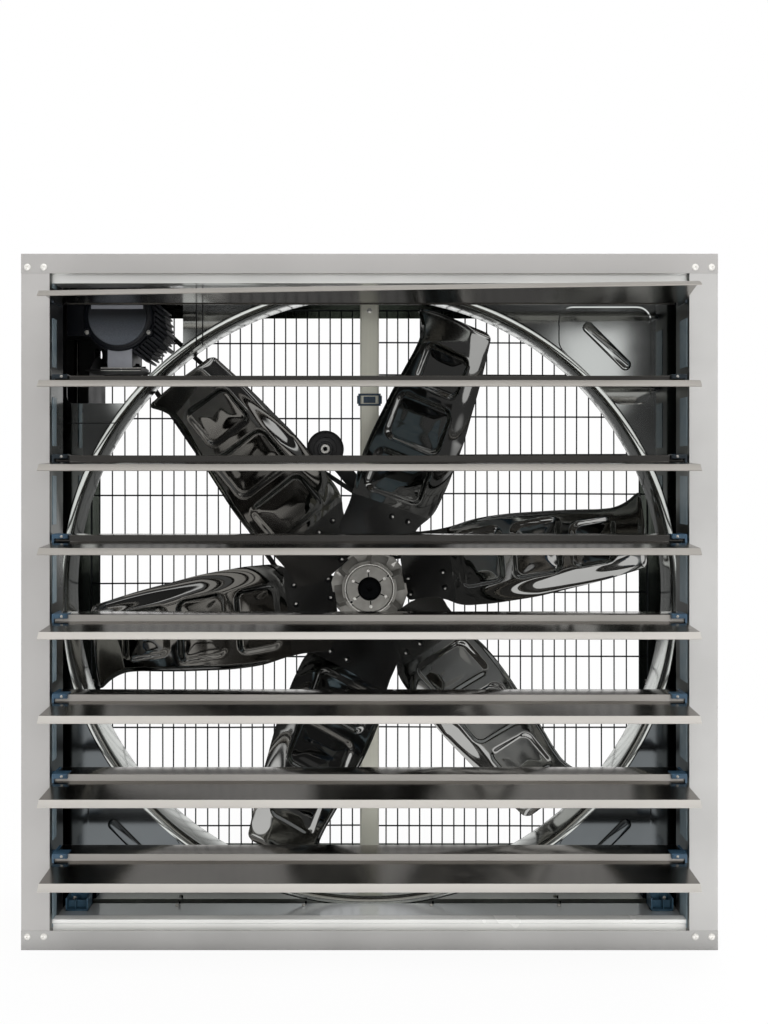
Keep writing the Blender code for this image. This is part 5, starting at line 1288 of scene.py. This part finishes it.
def floor_paint():
    """Matt white studio floor: white to the camera away from the shadow, bright ahead to polished metal."""
    made = bpy.data.materials.new("white_floor_paint")
    made.use_nodes = True
    tree = made.node_tree
    tree.nodes.remove(tree.nodes["Principled BSDF"])
    path = add(tree, "LightPath").outputs
    where = place(tree, (1, 1, 1))
    apart = add(tree, "VectorMath", {"operation": "LENGTH"}, _0=where).outputs["Value"]
    cover = spread(tree, apart, 0.94, 1.0, 0.9, 2.4)
    seen = reckon(tree, "MULTIPLY", path["Is Camera Ray"], cover)
    share = reckon(tree, "MAXIMUM", seen, path["Is Glossy Ray"])
    spot = add(tree, "SeparateXYZ", Vector=where).outputs
    side = spread(tree, reckon(tree, "ABSOLUTE", spot["X"]), 1.0, 0.06, 1.2, 2.0)
    ahead = spread(tree, spot["Y"], 1.15, 0.12, -0.27, -0.205)
    level = between(tree, path["Is Glossy Ray"], 1.0, reckon(tree, "MULTIPLY", side, ahead))
    paint = add(tree, "BsdfDiffuse", Color=(0.82, 0.82, 0.82, 1.0))
    glow = add(tree, "Emission", Color=(1, 1, 1, 1), Strength=level)
    mixed = add(tree, "MixShader", _0=share, _1=paint.outputs[0], _2=glow.outputs[0])
    tree.links.new(mixed.outputs[0], tree.nodes["Material Output"].inputs["Surface"])
    return made


def ramp(tree, source, stops):
    """Grey level read from a value between -1 and 1."""
    made = add(tree, "ValToRGB", Fac=spread(tree, source, 0.0, 1.0, -1.0, 1.0))
    while len(made.color_ramp.elements) < len(stops):
        made.color_ramp.elements.new(0.5)
    for element, (spot, level) in zip(made.color_ramp.elements, stops):
        element.position = (spot + 1) / 2
        element.color = (level, level, level, 1)
    return made.outputs["Color"]


def surroundings():
    """White all round for the camera; metal sees a lit room in front, dark halls beside, dusk behind."""
    world = bpy.data.worlds.new("studio")
    bpy.context.scene.world = world
    world.use_nodes = True
    tree = world.node_tree
    tree.nodes.clear()
    parts = add(tree, "SeparateXYZ", Vector=add(tree, "TexCoord").outputs["Generated"]).outputs
    room = ramp(tree, parts["Z"], [(-1.0, 0.9), (-0.03, 0.9), (0.0, 0.05), (0.18, 0.03), (0.186, 1.0),
                                   (0.202, 1.0), (0.212, 0.12)])
    dusk = ramp(tree, parts["Z"], [(-1.0, 0.14), (-0.2, 0.14), (-0.14, 0.95), (0.12, 0.95), (0.2, 0.38),
                                   (0.32, 0.22), (0.44, 0.38), (0.7, 0.38)])
    hall = ramp(tree, parts["Z"], [(-1.0, 0.02), (0.6, 0.02), (0.88, 0.4), (0.96, 1.0), (1.0, 1.0)])
    hall = reckon(tree, "MULTIPLY", hall, spread(tree, parts["Y"], 1.0, 0.45, -0.1, 0.06))
    # two tall windows in the front wall stand mirrored in the orifice plate
    wide = reckon(tree, "ABSOLUTE", parts["X"])
    pane = spread(tree, wide, 0.0, 1.0, 0.16, 0.185)
    for edge in (spread(tree, wide, 1.0, 0.0, 0.228, 0.24), spread(tree, parts["Z"], 0.0, 1.0, 0.045, 0.065),
                 spread(tree, parts["Z"], 1.0, 0.0, 0.126, 0.133)):
        pane = reckon(tree, "MULTIPLY", pane, edge)
    near = spread(tree, parts["Y"], 1.0, 0.0, -0.86, -0.66)
    far = spread(tree, parts["Y"], 0.0, 1.0, 0.1, 0.6)
    lit = between(tree, near, hall, reckon(tree, "MAXIMUM", room, pane))
    path = add(tree, "LightPath").outputs
    seen = between(tree, path["Is Glossy Ray"], 0.8, between(tree, far, lit, dusk))
    plain = reckon(tree, "MAXIMUM", path["Is Camera Ray"], path["Is Transmission Ray"])
    light = add(tree, "Background", Color=(1, 1, 1, 1), Strength=reckon(tree, "MAXIMUM", seen, plain))
    tree.links.new(light.outputs[0], add(tree, "OutputWorld").inputs["Surface"])


def lamp(name, spot, target, size, power):
    """Softbox that lights the fan and isn't mirrored in it."""
    light = bpy.data.lights.new(name, "AREA")
    light.shape = "RECTANGLE"
    light.size, light.size_y = size
    light.energy = power
    made = placed(name, light)
    made.location = spot
    made.rotation_euler = (Vector(target) - Vector(spot)).to_track_quat("-Z", "Y").to_euler()
    made.visible_glossy = False


def camera():
    lens = bpy.data.cameras.new("camera")
    lens.sensor_width = 36.0
    lens.lens = 37.29
    lens.shift_x = 0.01416
    lens.shift_y = -0.041
    lens.dof.use_dof = False
    made = placed("camera", lens)
    made.location = (0.0, -2.3, 0.9513)
    made.rotation_euler = (math.radians(90), 0, 0)
    bpy.context.scene.camera = made


for build in (rail_panels, side_panels, corner_rivets, orifice_plate, throat_ring, shutter_rails, jambs,
              shutter, corner_guides, guards, support_bar, bearing_housing, hub, blades, driven_pulley,
              drive_belt, idler, motor_pulley, motor, motor_bracket, terminal_box, stage, surroundings):
    build()
lamp("front_softbox", (0.9, -4.4, 1.3), (0, 0, 0.7), (3.4, 3.0), 76)
lamp("top_softbox", (0.0, -1.5, 3.7), (0, -0.2, 0.5), (3.2, 2.0), 55)
lamp("rear_softbox", (1.6, 3.0, 3.4), (0, 0, 0.7), (3.0, 2.0), 110)
camera()
bpy.context.scene.view_settings.view_transform = "Standard"
